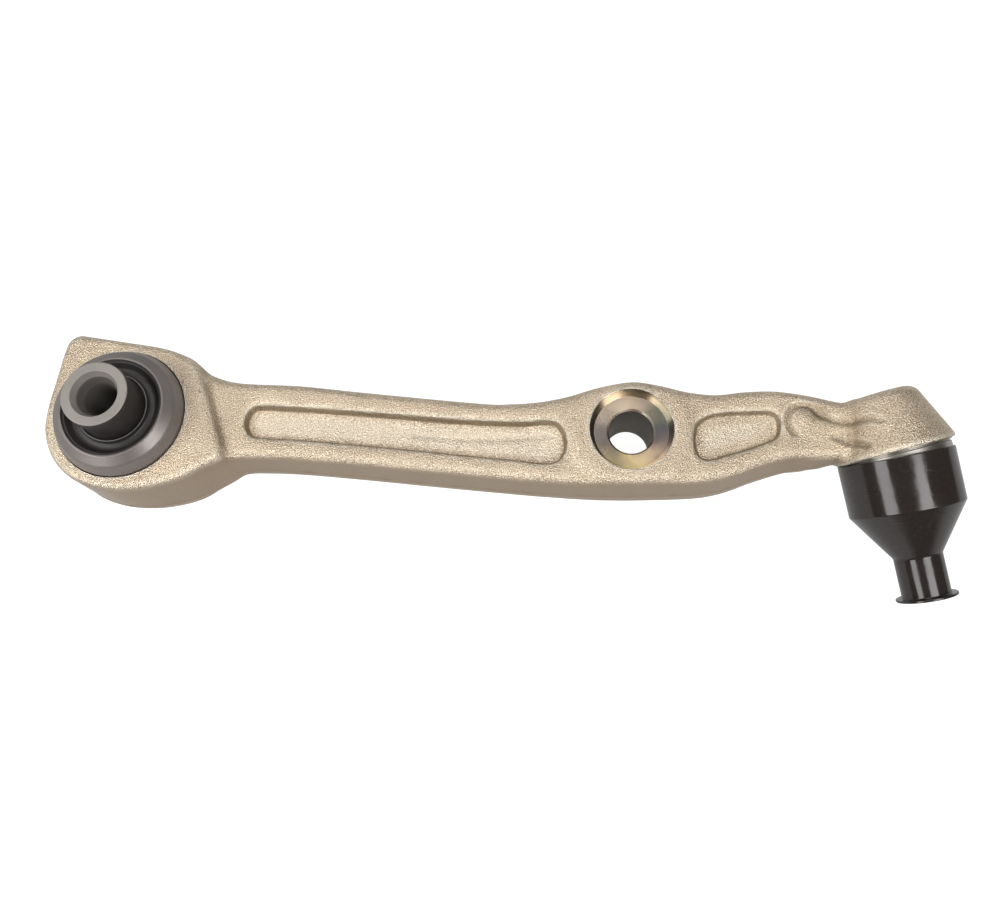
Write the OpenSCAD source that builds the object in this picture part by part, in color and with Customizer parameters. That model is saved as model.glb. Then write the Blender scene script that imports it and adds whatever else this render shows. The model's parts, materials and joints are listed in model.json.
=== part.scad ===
// Forged lower control arm with a pressed-in rubber bushing, a strut bolt hole and a ball joint.
// The origin is on the bushing's axis, halfway through the eye. +Z is that axis, towards the
// side that carries the strut counterbore, and +X runs from the bushing to the ball joint.

/* [Eye and bushing] */
// Radius of the eye's round side
eye_r = 34.3; // [32:0.1:36]
// Thickness of the eye along its bore
eye_t = 40; // [36:1:44]
// Radius of the eye's bore, which the outer shell is pressed into
eye_bore_r = 28.2; // [27:0.1:29]
// Height of the outer shell's stop cone above the eye's front face
cone_h = 9.2; // [6:0.1:12]
// Radius of the stop cone's open rim
cone_rim_r = 21.5; // [20:0.5:24]
// Radius of the inner sleeve
sleeve_r = 13.9; // [12:0.1:15]
// Radius of the inner sleeve's bore, for an M14 bolt
sleeve_bore_r = 7.25; // [7.1:0.05:8]
// Height of the inner sleeve's front end above the eye's mid-plane
sleeve_front = 44.5; // [38:0.5:48]
// Depth of the inner sleeve's back end below the eye's mid-plane
sleeve_back = 30.5; // [26:0.5:34]

/* [Beam] */
// Height of the beam's front face above the eye's mid-plane
beam_front = 16; // [14:0.5:18]
// Thickness of the beam
beam_t = 26; // [22:1:28]
// Depth of the pockets in the beam's two faces
pocket_depth = 3.6; // [2:0.1:7]

/* [Strut hole] */
// Distance of the strut hole from the bushing's axis
strut_x = 220; // [218:1:222]
// Radius of the strut bolt's hole
strut_hole_r = 9.5; // [8:0.1:11]
// Radius of the counterbore at the front face
counterbore_r = 17.75; // [17:0.25:19]
// Depth of the counterbore
counterbore_depth = 4.5; // [3:0.5:6]

/* [Ball joint] */
// Distance of the ball's centre from the bushing's axis
ball_x = 329; // [327:1:331]
// Radius of the ball
ball_r = 13; // [12:0.5:13.5]
// Radius of the housing's machined rim
housing_r = 23.8; // [23:0.1:25]
// Radius of the stud's M14 thread
thread_r = 6.95; // [6.8:0.05:7]
// Radius of the transport cap at its mouth
cap_r = 23.5; // [23:0.1:23.6]

/* [Hidden] */
$fn = 96;

// Places that follow from the sizes above
eye_face = eye_t / 2;
cone_top = eye_face + cone_h;
beam_back = beam_front - beam_t;
cut = 1;             // how far a cutting solid runs past the face that it cuts
chamfer = 0.8;

// The beam's upper and lower edges, from the eye to the ball joint
top_edge = [
    [24, 27], [34, 21.5], [48, 18], [76, 17.7], [104, 15.7], [155, 12.2], [180, 13.7], [204, 20.3],
    [220, 24], [236, 21.8], [256, 19], [276, 21.5], [295, 19.8], [311, 17], [322, 19]
];
bottom_edge = [
    [24, -30], [38, -23], [52, -17], [78, -16.8], [105, -18.3], [136, -20.4], [166, -22.3], [196, -24],
    [230, -23], [249, -21.4], [258, -19.4], [272, -14], [280, -11.2], [288, -9.4], [305, -9], [317, -6]
];
// The beam's side view: its back face, as points of distance from the bushing's axis and height
back_line = [[20, -10], [175, -10], [225, -12.8], [274, -12.8], [290, -6], [306, 0.7], [330, 0.7]];
// The raised pad round the bushing, clockwise from the corner lug
lug_corner = [-25, 32.6];
lug_r = 5;
eye_pad = [
    [-33, 0], [-30, 32.6], [-25, 37.6], [-6, 34.6], [12, 32.2], [22, 29.6], [31, 25], [40, 6], [47, -14],
    [46, -19.5], [38, -23.6], [30, -28.2], [18, -32], [5, -32.6], [0, 0]
];
// The long pocket and the short one: centre X, centre Y, length, height and the rise from left to right
long_pocket = [122.5, -2.2, 139, 19, -5];
short_pocket = [263.5, 1, 34, 16, 7];
pocket_corner_r = 6;

// Strut hole
strut_y = 1;
strut_front = 17;
strut_back = -17.4;
strut_boss_r = 22.5;
strut_back_boss_r = 17;
counterbore_floor_r = 15.9;

// Bushing
shell_wall = 2.5;
shell_in_r = eye_bore_r - shell_wall;
shell_lip = 1.2;
cone_crease_r = 26.2;
cone_crease_h = 6;
rubber_gap = 0.05;    // running gap where the sleeve turns against the rubber
rubber_front_dip = 1.4;
rubber_valley = 6;
rubber_back_lip = 2;
shell_corner = 0.6;
rim_t = 0.5;
rim_depth = 1.5;
sleeve_corner = 0.5;
collar_lip = 1.1;
mouth_r = 10;
mouth_depth = 7.5;

// Ball joint. The housing's axis and the stud's are given by their lean from -Y towards +X and their
// dip below the XY plane
ball_c = [ball_x, 3, 9];
housing_lean = 17.5;
housing_dip = 11.5;
stud_lean = 13.8;
stud_dip = 14.3;
rim_h = 5;            // the rim's distance from the ball's centre along the housing's axis
rim_relief_r = 34;
housing_top = 19.2;
housing_top_r = 14.5;
housing_top_chamfer = 3;
rim_relief_h = 3.5;   // the beam stops here within rim_relief_r, so that the cap can swing past its end
rim_chamfer = 0.4;
collar_r = 21.8;
collar_groove_r = 20.8;
collar_groove_w = 0.7;
collar_h = 8.3;
boot_seat_r = 17.6;
boot_seat_h = 12;
seat_r = ball_r + 2.3;
ball_gap = 0.05;
seat_end = 6;
ring_r = 16.4;
ring_bore_r = 12.6;
ring_end = 8.5;

// Stud: distances from the ball's centre and radii
neck_r = 7.5;
neck_start = 9;
taper_start = 30;
taper_end = 47;
taper_big_r = 9.75;
taper_small_r = 8.7;
thread_end = 65;
hex_af = 6;
hex_depth = 8;

thread_root_r = thread_r - 0.8;
thread_start = taper_end + 2.3;
neck_fillet = 3;
flange_gap = 0.2;

// Boot, its clips and its neck ring. Outlines are radius and distance from the ball's centre
bead_r = 19;
bead_start = 8.8;
bead_end = 11.8;
foot_r = 18.2;
foot_end = 14;
boot_neck_r = 12;
boot_outline = [[17.9, 12], [19.3, 14], [19.3, 16], [18, 19.5], [14, 22.5]];
boot_hollow = [[16.7, 8.5], [17.3, 12.4], [17.9, 13.4], [17.9, 15.6], [16.8, 18.4], [13, 21.4]];
boot_neck_start = 23.5;
boot_neck_end = 28.6;
wire_r = 0.7;
neck_ring_r = 9.2;
neck_seat_r = 8;
neck_ring_gap = 0.05;

// Transport cap: distances from the ball's centre and radii
cap_mouth = 8;
cap_shoulder = 30.4;
cap_shoulder_r = 23.3;
cap_neck = 50.4;
cap_neck_r = 9.8;
cap_end = 68.3;
cap_lip_r = 12.4;
cap_lip_t = 1.1;
cap_wall = 1.25;

// Points of a smooth curve through p, with n steps between each two of them
function smooth(p, n = 5) = concat([
    for (i = [0 : len(p) - 2]) for (k = [0 : n - 1])
        let (a = p[max(i - 1, 0)], b = p[i], c = p[i + 1], d = p[min(i + 2, len(p) - 1)], t = k / n)
            b + (c - a) * t / 2 + (a - 2.5 * b + 2 * c - d / 2) * t * t
                + (1.5 * (b - c) + (d - a) / 2) * t * t * t
], [p[len(p) - 1]]);

function reversed(p) = [for (i = [len(p) - 1 : -1 : 0]) p[i]];

// Turns +Z to a lean from -Y towards +X and a dip below the XY plane, at the ball's centre
module at_ball(lean, dip) {
    translate(ball_c) rotate([0, 90 + dip, lean - 90]) children();
}

module at_housing() at_ball(housing_lean, housing_dip) children();

module at_stud() at_ball(stud_lean, stud_dip) children();

// A pocket's cutter: a slanted bar with round corners
module pocket_cutter(pocket) {
    length = pocket[2] - 2 * pocket_corner_r;
    height = pocket[3] - 2 * pocket_corner_r;
    slant = atan(pocket[4] / pocket[2]);
    translate([pocket[0], pocket[1], 0]) rotate(slant) linear_extrude(pocket_depth + 2 * cut) union() {
        for (x = [-0.5, 0.5], y = [-0.5, 0.5]) translate([x * length, y * height]) circle(pocket_corner_r);
        square([length, pocket[3]], center = true);
        square([pocket[2], height], center = true);
    }
}

module beam_solid() {
    outline = concat(smooth(top_edge), reversed(smooth(bottom_edge)));
    side = concat(back_line, [[330, beam_front], [20, beam_front]]);
    difference() {
        intersection() {
            translate([0, 0, -beam_t]) linear_extrude(2 * beam_t) polygon(outline);
            rotate([90, 0, 0]) translate([0, 0, -beam_t]) linear_extrude(2 * beam_t) polygon(side);
        }
        at_housing() translate([0, 0, rim_relief_h]) cylinder(r = rim_relief_r, h = beam_t);
    }
}

module eye_solid() {
    translate([0, 0, -eye_face]) {
        cylinder(r = eye_r, h = eye_t);
        translate(lug_corner) cylinder(r = lug_r, h = eye_t);
        linear_extrude(eye_t) polygon(eye_pad);
    }
}

module strut_boss() {
    translate([strut_x, strut_y, beam_back + cut])
        cylinder(r = strut_boss_r, h = strut_front - beam_back - cut);
    translate([strut_x, strut_y, strut_back]) cylinder(r = strut_back_boss_r, h = beam_t / 2);
}

module housing_solid() {
    at_housing() rotate_extrude() polygon([
        [0, -housing_top], [housing_top_r - housing_top_chamfer, -housing_top],
        [housing_top_r, housing_top_chamfer - housing_top],
        [housing_r - rim_chamfer, rim_h - 2 * rim_chamfer],
        [housing_r, rim_h - rim_chamfer], [housing_r, rim_h], [collar_groove_r, rim_h],
        [collar_groove_r, rim_h + collar_groove_w], [collar_r, rim_h + collar_groove_w],
        [collar_r, collar_h],
        [boot_seat_r, collar_h], [boot_seat_r, boot_seat_h], [0, boot_seat_h]
    ]);
}

module housing_cavity() {
    at_housing() {
        sphere(r = seat_r);
        cylinder(r = seat_r, h = boot_seat_h + cut);
        translate([0, 0, seat_end]) cylinder(r = ring_r, h = boot_seat_h);
    }
}

module strut_hole() {
    translate([strut_x, strut_y, 0]) {
        translate([0, 0, strut_back - cut])
            cylinder(r = strut_hole_r, h = strut_front - strut_back + 2 * cut);
        translate([0, 0, strut_front - counterbore_depth])
            cylinder(r1 = counterbore_floor_r, r2 = counterbore_r, h = counterbore_depth);
        translate([0, 0, strut_front]) cylinder(r = counterbore_r, h = cut);
        translate([0, 0, strut_front - counterbore_depth - chamfer])
            cylinder(r1 = strut_hole_r, r2 = strut_hole_r + chamfer, h = chamfer);
        translate([0, 0, strut_back]) cylinder(r1 = strut_hole_r + chamfer, r2 = strut_hole_r, h = chamfer);
    }
}

module arm_forging() {
    color([0.77, 0.70, 0.54]) difference() {
        union() {
            beam_solid();
            eye_solid();
            strut_boss();
            housing_solid();
        }
        translate([0, 0, beam_front - pocket_depth]) {
            pocket_cutter(long_pocket);
            pocket_cutter(short_pocket);
        }
        translate([0, 0, beam_back + pocket_depth]) mirror([0, 0, 1]) pocket_cutter(long_pocket);
        translate([0, 0, back_line[3][1] + pocket_depth]) mirror([0, 0, 1]) pocket_cutter(short_pocket);
        translate([0, 0, -eye_face - cut]) cylinder(r = eye_bore_r, h = eye_t + 2 * cut);
        strut_hole();
        housing_cavity();
    }
}

// The steel shell that is pressed into the eye, with the stop cone on its front end
module bushing_outer_shell() {
    color([0.52, 0.50, 0.50]) rotate_extrude() polygon([
        [shell_in_r, -eye_face], [eye_bore_r - shell_corner, -eye_face],
        [eye_bore_r, shell_corner - eye_face],
        [eye_bore_r, eye_face + shell_lip], [cone_crease_r, eye_face + cone_crease_h],
        [cone_rim_r + rim_t, cone_top], [cone_rim_r, cone_top], [cone_rim_r, cone_top - rim_depth],
        [shell_in_r, eye_face - shell_lip]
    ]);
}

// The rubber between the shell and the sleeve, with a folded valley in both ends
module bushing_rubber() {
    inner_r = sleeve_r + rubber_gap;
    front = cone_top - rubber_front_dip;
    back = -eye_face - rubber_back_lip;
    color([0.10, 0.09, 0.09]) rotate_extrude() polygon([
        [inner_r, back], [inner_r + collar_lip, back], [inner_r + 3 * collar_lip, rubber_valley - eye_face],
        [shell_in_r - rubber_back_lip, rubber_valley - rubber_back_lip - eye_face],
        [shell_in_r, shell_lip - eye_face], [shell_in_r, eye_face - shell_lip],
        [cone_rim_r, cone_top - rim_depth],
        [cone_rim_r - rim_t, front], [inner_r + 4 * collar_lip, front - rubber_valley + rubber_back_lip],
        [inner_r + 2 * collar_lip, front - rubber_valley + rubber_back_lip + rim_t],
        [inner_r + collar_lip, front], [inner_r, front]
    ]);
}

module bushing_inner_sleeve() {
    color([0.62, 0.61, 0.60]) rotate_extrude() polygon([
        [mouth_r, -sleeve_back], [sleeve_r - sleeve_corner, -sleeve_back],
        [sleeve_r, sleeve_corner - sleeve_back], [sleeve_r, sleeve_front - sleeve_corner],
        [sleeve_r - sleeve_corner, sleeve_front], [mouth_r, sleeve_front],
        [sleeve_bore_r, sleeve_front - mouth_depth], [sleeve_bore_r, -sleeve_back + mouth_depth]
    ]);
}

// The plastic shell that the ball turns in
module ball_seat() {
    color([0.90, 0.89, 0.84]) at_housing() difference() {
        union() {
            sphere(r = seat_r);
            cylinder(r = seat_r, h = seat_end);
        }
        translate([0, 0, seat_end]) cylinder(r = seat_r + cut, h = seat_r);
        sphere(r = ball_r + ball_gap);
    }
}

// The steel ring that keeps the seat in the housing
module housing_ring() {
    color([0.66, 0.66, 0.64]) at_housing() translate([0, 0, seat_end]) difference() {
        cylinder(r = ring_r, h = ring_end - seat_end);
        translate([0, 0, -cut]) cylinder(r = ring_bore_r, h = ring_end);
    }
}

module ball_stud() {
    color([0.70, 0.70, 0.70]) at_stud() difference() {
        union() {
            sphere(r = ball_r);
            rotate_extrude() polygon([
                [0, neck_start], [neck_seat_r, neck_start], [neck_r, neck_start + neck_fillet],
                [neck_r, boot_neck_start - neck_fillet], [neck_seat_r, boot_neck_start],
                [neck_seat_r, boot_neck_end + flange_gap], [taper_big_r, boot_neck_end + flange_gap],
                [taper_big_r, taper_start], [taper_small_r, taper_end], [thread_root_r, taper_end],
                [thread_root_r, thread_start - chamfer], [thread_r, thread_start],
                [thread_r, thread_end - chamfer], [thread_r - chamfer, thread_end], [0, thread_end]
            ]);
        }
        translate([0, 0, thread_end - hex_depth])
            cylinder(d = hex_af / cos(30), h = hex_depth + cut, $fn = 6);
    }
}

// The rubber boot: a bead round the housing's boot seat, a bulge that leans with the stud, and a neck
module dust_boot() {
    color([0.09, 0.09, 0.09]) difference() {
        union() {
            at_housing() translate([0, 0, bead_start]) {
                cylinder(r = bead_r, h = bead_end - bead_start);
                cylinder(r = foot_r, h = foot_end - bead_start);
            }
            at_stud() rotate_extrude() polygon(concat(
                [[0, boot_outline[0][1]]], boot_outline,
                [[boot_neck_r, boot_neck_start], [boot_neck_r, boot_neck_end], [0, boot_neck_end]]
            ));
        }
        at_housing() translate([0, 0, bead_start - cut])
            cylinder(r = boot_seat_r, h = boot_seat_h - bead_start + cut);
        at_stud() rotate_extrude() polygon(concat(
            [[0, boot_hollow[0][1]]], boot_hollow,
            [[neck_ring_r, boot_neck_start], [neck_ring_r, boot_neck_end + cut], [0, boot_neck_end + cut]]
        ));
    }
}

// A clip of round wire in a groove of the boot
module wire_clip(r, h) {
    color([0.72, 0.71, 0.69]) translate([0, 0, h])
        rotate_extrude() translate([r, 0]) circle(wire_r, $fn = 24);
}

module boot_clip_large() {
    at_housing() wire_clip(bead_r + wire_r, (bead_start + bead_end) / 2);
}

module boot_clip_small() {
    at_stud() wire_clip(boot_neck_r + wire_r, (boot_neck_start + boot_neck_end) / 2);
}

// The steel ring inside the boot's neck, which the stud turns in
module boot_neck_ring() {
    color([0.66, 0.66, 0.64]) at_stud() translate([0, 0, boot_neck_start]) difference() {
        cylinder(r = neck_ring_r, h = boot_neck_end - boot_neck_start);
        translate([0, 0, -cut]) cylinder(r = neck_seat_r + neck_ring_gap, h = boot_neck_end);
    }
}

// The hard plastic cap that covers the boot and the stud until the arm is fitted
module transport_cap() {
    color([0.07, 0.06, 0.06]) at_stud() rotate_extrude() polygon([
        [cap_r - cap_wall, cap_mouth], [cap_r, cap_mouth], [cap_shoulder_r, cap_shoulder],
        [cap_neck_r, cap_neck], [cap_neck_r, cap_end - cap_lip_t], [cap_lip_r, cap_end - cap_lip_t],
        [cap_lip_r, cap_end], [0, cap_end], [0, cap_end - cap_wall],
        [cap_neck_r - cap_wall, cap_end - cap_wall], [cap_neck_r - cap_wall, cap_neck],
        [cap_shoulder_r - cap_wall, cap_shoulder - cap_wall / 3]
    ]);
}

arm_forging();
bushing_outer_shell();
bushing_rubber();
bushing_inner_sleeve();
ball_seat();
housing_ring();
ball_stud();
dust_boot();
boot_clip_large();
boot_clip_small();
boot_neck_ring();
transport_cap();
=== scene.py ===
"""Looks of a forged control arm with a rubber bushing, a strut seat and a ball joint under its cap.

Lengths inside the classes are millimetres, as on a workshop drawing, and every mesh is put into the
scene in metres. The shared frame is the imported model's: origin on the bushing's axis halfway through
the eye, +Z along that axis, +X towards the ball joint.
"""

import json
import logging
import math
from dataclasses import dataclass, field
from enum import Enum
from typing import Callable, Sequence

import bpy
import numpy as np
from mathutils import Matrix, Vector


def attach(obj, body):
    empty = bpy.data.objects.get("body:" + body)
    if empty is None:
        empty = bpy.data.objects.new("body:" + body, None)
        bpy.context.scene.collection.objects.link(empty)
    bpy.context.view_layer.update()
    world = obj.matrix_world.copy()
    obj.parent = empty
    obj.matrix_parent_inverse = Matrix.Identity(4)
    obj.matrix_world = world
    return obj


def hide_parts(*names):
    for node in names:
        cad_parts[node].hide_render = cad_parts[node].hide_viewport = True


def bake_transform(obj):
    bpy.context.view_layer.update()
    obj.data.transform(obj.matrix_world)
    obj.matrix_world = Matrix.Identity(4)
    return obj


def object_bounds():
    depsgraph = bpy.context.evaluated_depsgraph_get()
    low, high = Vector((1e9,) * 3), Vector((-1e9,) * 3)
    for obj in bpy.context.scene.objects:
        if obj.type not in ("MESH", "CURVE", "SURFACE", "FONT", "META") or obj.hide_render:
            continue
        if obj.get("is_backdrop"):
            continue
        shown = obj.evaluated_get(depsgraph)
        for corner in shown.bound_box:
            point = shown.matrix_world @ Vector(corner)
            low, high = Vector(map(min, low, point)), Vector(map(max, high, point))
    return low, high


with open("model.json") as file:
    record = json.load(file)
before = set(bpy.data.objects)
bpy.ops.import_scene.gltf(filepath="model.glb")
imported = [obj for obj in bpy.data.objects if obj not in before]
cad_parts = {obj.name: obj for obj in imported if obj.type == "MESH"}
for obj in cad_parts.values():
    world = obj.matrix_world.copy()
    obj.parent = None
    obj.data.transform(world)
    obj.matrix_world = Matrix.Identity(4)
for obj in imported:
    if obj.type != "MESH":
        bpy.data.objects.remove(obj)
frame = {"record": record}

MM = 0.001
TURN = 2 * math.pi
LOG = logging.getLogger("control_arm")
Array = np.ndarray
Colour = tuple[float, float, float, float]


# ---------------------------------------------------------------- shape tools


def smoothstep(t: Array) -> Array:
    """Eases 0 to 1 with a flat start and end: 3t squared minus 2t cubed, t clipped to 0..1."""
    t = np.clip(t, 0, 1)
    return t * t * (3 - 2 * t)


def soft_union(a: Array, b: Array, k: float) -> Array:
    """Joins two distance fields with a fillet: the smaller of both, less k h (1 - h) near a tie.

    Args:
        a, b: distances to the two solids, negative inside.
        k: how wide the fillet is, in mm.
    Returns:
        The joined field.
    """
    h = np.clip(0.5 + 0.5 * (b - a) / k, 0, 1)
    return b + (a - b) * h - k * h * (1 - h)


def round_meet(a: Array, b: Array, r: float) -> Array:
    """Keeps what is inside both fields, with the edge between them rounded to radius r.

    Args:
        a, b: distances, negative inside.
        r: radius of the rounded edge, in mm.
    Returns:
        The field of the common part.
    """
    a, b = a + r, b + r
    return np.minimum(np.maximum(a, b), 0) + np.hypot(np.maximum(a, 0), np.maximum(b, 0)) - r


def smooth_curve(points: Sequence[Sequence[float]], steps: int, closed: bool) -> Array:
    """A curve through given points: each span is the cubic whose end slopes are half the chord
    between the neighbours of its end points.

    Args:
        points: the points that the curve passes through.
        steps: rows worked out for each span.
        closed: whether the last point runs on into the first.
    Returns:
        The curve's points, one a row.
    """
    p = np.asarray(points, float)
    count = len(p) if closed else len(p) - 1
    i = np.arange(count)
    pick = (lambda k: p[k % len(p)]) if closed else (lambda k: p[np.clip(k, 0, len(p) - 1)])
    a, b, c, d = (pick(i + k)[:, None] for k in (-1, 0, 1, 2))
    t = (np.arange(steps) / steps)[None, :, None]
    span = b + (c - a) * t / 2 + (a - 2.5 * b + 2 * c - d / 2) * t**2 + (1.5 * (b - c) + (d - a) / 2) * t**3
    curve = span.reshape(-1, p.shape[1])
    return curve if closed else np.vstack([curve, p[-1:]])


class PlanField:
    """Distance, in plan, to a line of straight sides, negative inside a closed one: worked out once on
    a square grid and then read between the grid's points by weighting the four nearest values."""

    def __init__(
        self, outline: Array, low: Array, high: Array, closed: bool = True, step: float = 0.75
    ) -> None:
        """Args:
        outline: the line's corners, one a row, in mm.
        low, high: the corners of the area to cover, in mm.
        closed: whether the last corner runs back to the first.
        step: the grid's spacing, in mm.
        """
        self.low, self.step = np.asarray(low[:2], float) - 2 * step, step
        count = np.ceil((np.asarray(high[:2]) - self.low) / step).astype(int) + 3
        gx, gy = np.meshgrid(*(self.low[k] + np.arange(count[k]) * step for k in (0, 1)), indexing="ij")
        self.values = self.distance(np.stack([gx.ravel(), gy.ravel()], 1), outline, closed).reshape(gx.shape)

    @staticmethod
    def distance(points: Array, outline: Array, closed: bool) -> Array:
        """Shortest distance to any side, negative where a ray to +X crosses a closed outline an odd
        number of times.

        Args:
            points: plan points, one a row.
            outline: the line's corners.
            closed: whether the last corner runs back to the first.
        Returns:
            One signed distance a point.
        """
        p = points.astype(np.float32)
        a = outline.astype(np.float32)
        a, b = (a, np.roll(a, -1, axis=0)) if closed else (a[:-1], a[1:])
        best = np.full(len(p), np.inf, np.float32)
        odd = np.zeros(len(p), bool)
        for part in np.array_split(np.arange(len(a)), max(1, len(a) // 24)):
            s, side = a[part], b[part] - a[part]
            away = p[:, None] - s[None]
            t = np.clip((away * side).sum(2) / (side**2).sum(1), 0, 1)
            best = np.minimum(best, ((away - t[..., None] * side) ** 2).sum(2).min(1))
            above = (s[:, 1] > p[:, 1:]) != (b[part][:, 1] > p[:, 1:])
            rise = np.where(side[:, 1] == 0, 1e-9, side[:, 1])
            crosses = above & (p[:, :1] < s[:, 0] + side[:, 0] * (p[:, 1:] - s[:, 1]) / rise)
            odd ^= crosses.sum(1) % 2 == 1
        return np.where(odd & closed, -1, 1) * np.sqrt(best)

    def __call__(self, x: Array, y: Array) -> Array:
        """Reads the distance at plan points by bilinear weighting; returns an array of x's shape."""
        size = np.array(self.values.shape)
        u = np.clip((x - self.low[0]) / self.step, 0, size[0] - 1.001)
        v = np.clip((y - self.low[1]) / self.step, 0, size[1] - 1.001)
        i, j = u.astype(int), v.astype(int)
        fu, fv = u - i, v - j
        g = self.values
        low = g[i, j] * (1 - fu) + g[i + 1, j] * fu
        high = g[i, j + 1] * (1 - fu) + g[i + 1, j + 1] * fu
        return low * (1 - fv) + high * fv


@dataclass
class Skin:
    """A mesh in the making, in mm.

    Attributes:
        points: one corner a row.
        quads: four corner numbers a row; a triangle has -1 in its last place.
        uv: optional, one pair for each corner of each quad, in the order of quads.
        normals: optional, one direction a point, for exact shading.
        masks: optional named values, one a point, for the materials to read.
        slots: optional material number of each quad.
    """

    points: Array
    quads: Array
    uv: Array | None = None
    normals: Array | None = None
    masks: dict[str, Array] = field(default_factory=dict)
    slots: Array | None = None

    def make(self, name: str, finishes: Sequence["Finish"], crease: float | None = None) -> bpy.types.Object:
        """Puts the mesh into the scene, in metres, at the origin.

        Args:
            name: the piece's name.
            finishes: what its material slots hold, in order.
            crease: angle in degrees above which an edge shades sharp; None keeps all edges soft.
        Returns:
            The new object.
        """
        mesh = bpy.data.meshes.new(name)
        mesh.vertices.add(len(self.points))
        mesh.vertices.foreach_set("co", (self.points * MM).astype(np.float32).ravel())
        kept = self.quads >= 0
        sizes = kept.sum(axis=1)
        mesh.loops.add(int(sizes.sum()))
        mesh.loops.foreach_set("vertex_index", self.quads[kept].astype(np.int32))
        mesh.polygons.add(len(self.quads))
        mesh.polygons.foreach_set("loop_start", (np.cumsum(sizes) - sizes).astype(np.int32))
        if self.slots is not None:
            mesh.polygons.foreach_set("material_index", self.slots.astype(np.int32))
        mesh.update(calc_edges=True)
        mesh.polygons.foreach_set("use_smooth", np.ones(len(self.quads), bool))
        if self.uv is not None:
            layer = mesh.uv_layers.new(name="UVMap")
            layer.data.foreach_set("uv", self.uv[kept].astype(np.float32).ravel())
        for mask, values in self.masks.items():
            attribute = mesh.attributes.new(mask, "FLOAT", "POINT")
            attribute.data.foreach_set("value", values.astype(np.float32))
        for finish in finishes:
            mesh.materials.append(finish.material())
        if crease is not None:
            mesh.set_sharp_from_angle(angle=math.radians(crease))
        if self.normals is not None:
            mesh.normals_split_custom_set_from_vertices(self.normals.tolist())
        mesh.validate()
        made = bpy.data.objects.new(name, mesh)
        bpy.context.scene.collection.objects.link(made)
        return made


@dataclass(frozen=True)
class Axis:
    """A line to turn profiles about.

    Attributes:
        origin: a point on it, in mm.
        way: its direction.
    """

    origin: tuple[float, float, float]
    way: tuple[float, float, float]

    def basis(self) -> tuple[Array, Array, Array]:
        """Returns two directions square to the axis, and the axis's own."""
        w = np.asarray(self.way, float)
        w = w / np.linalg.norm(w)
        side = np.array([0.0, 0, 1]) if abs(w[2]) < 0.9 else np.array([1.0, 0, 0])
        u = np.cross(side, w)
        u /= np.linalg.norm(u)
        return u, np.cross(w, u), w

    def at(self, height: float) -> Array:
        """The point of the axis at that distance from its origin."""
        return np.asarray(self.origin) + height * self.basis()[2]

    def along(self, points: Array) -> tuple[Array, Array]:
        """Distance along the axis and distance from it, for points one a row."""
        away = points - np.asarray(self.origin)
        w = self.basis()[2]
        h = away @ w
        return h, np.linalg.norm(away - h[..., None] * w, axis=-1)


def rounded(corners: Sequence[tuple[float, float, float]], closed: bool, arc: int = 5) -> tuple[Array, Array]:
    """A profile with each corner turned into an arc that touches both of its sides.

    Args:
        corners: radius from the axis, height along it and corner radius, for each corner.
        closed: whether the profile runs back to its first corner.
        arc: rows on each arc.
    Returns:
        The profile's points, and the outward direction at each: the side's own, turned right.
    """
    raw = np.asarray(corners, float)
    points, normals = [], []
    count = len(raw)
    for i in range(count):
        here = raw[i, :2]
        ends = not closed and i in (0, count - 1)
        before, after = raw[i - 1, :2], raw[(i + 1) % count, :2]
        a = (here - before) / max(np.linalg.norm(here - before), 1e-9)
        b = (after - here) / max(np.linalg.norm(after - here), 1e-9)
        if ends:
            way = b if i == 0 else a
            points.append(here[None])
            normals.append(np.array([[way[1], -way[0]]]))
            continue
        turn = math.atan2(a[0] * b[1] - a[1] * b[0], float(a @ b))
        reach = min(
            raw[i, 2] * abs(math.tan(turn / 2)),
            0.49 * np.linalg.norm(here - before),
            0.49 * np.linalg.norm(after - here),
        )
        r = reach / max(abs(math.tan(turn / 2)), 1e-9)
        start = here - a * reach
        angles = turn * np.linspace(0, 1, arc)
        out = np.array([a[1], -a[0]])
        centre = start - out * r * np.sign(turn)
        c, s = np.cos(angles), np.sin(angles)
        way = np.stack([out[0] * c - out[1] * s, out[0] * s + out[1] * c], 1)
        points.append(centre + way * r * np.sign(turn))
        normals.append(way)
    return np.vstack(points), np.vstack(normals)


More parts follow.
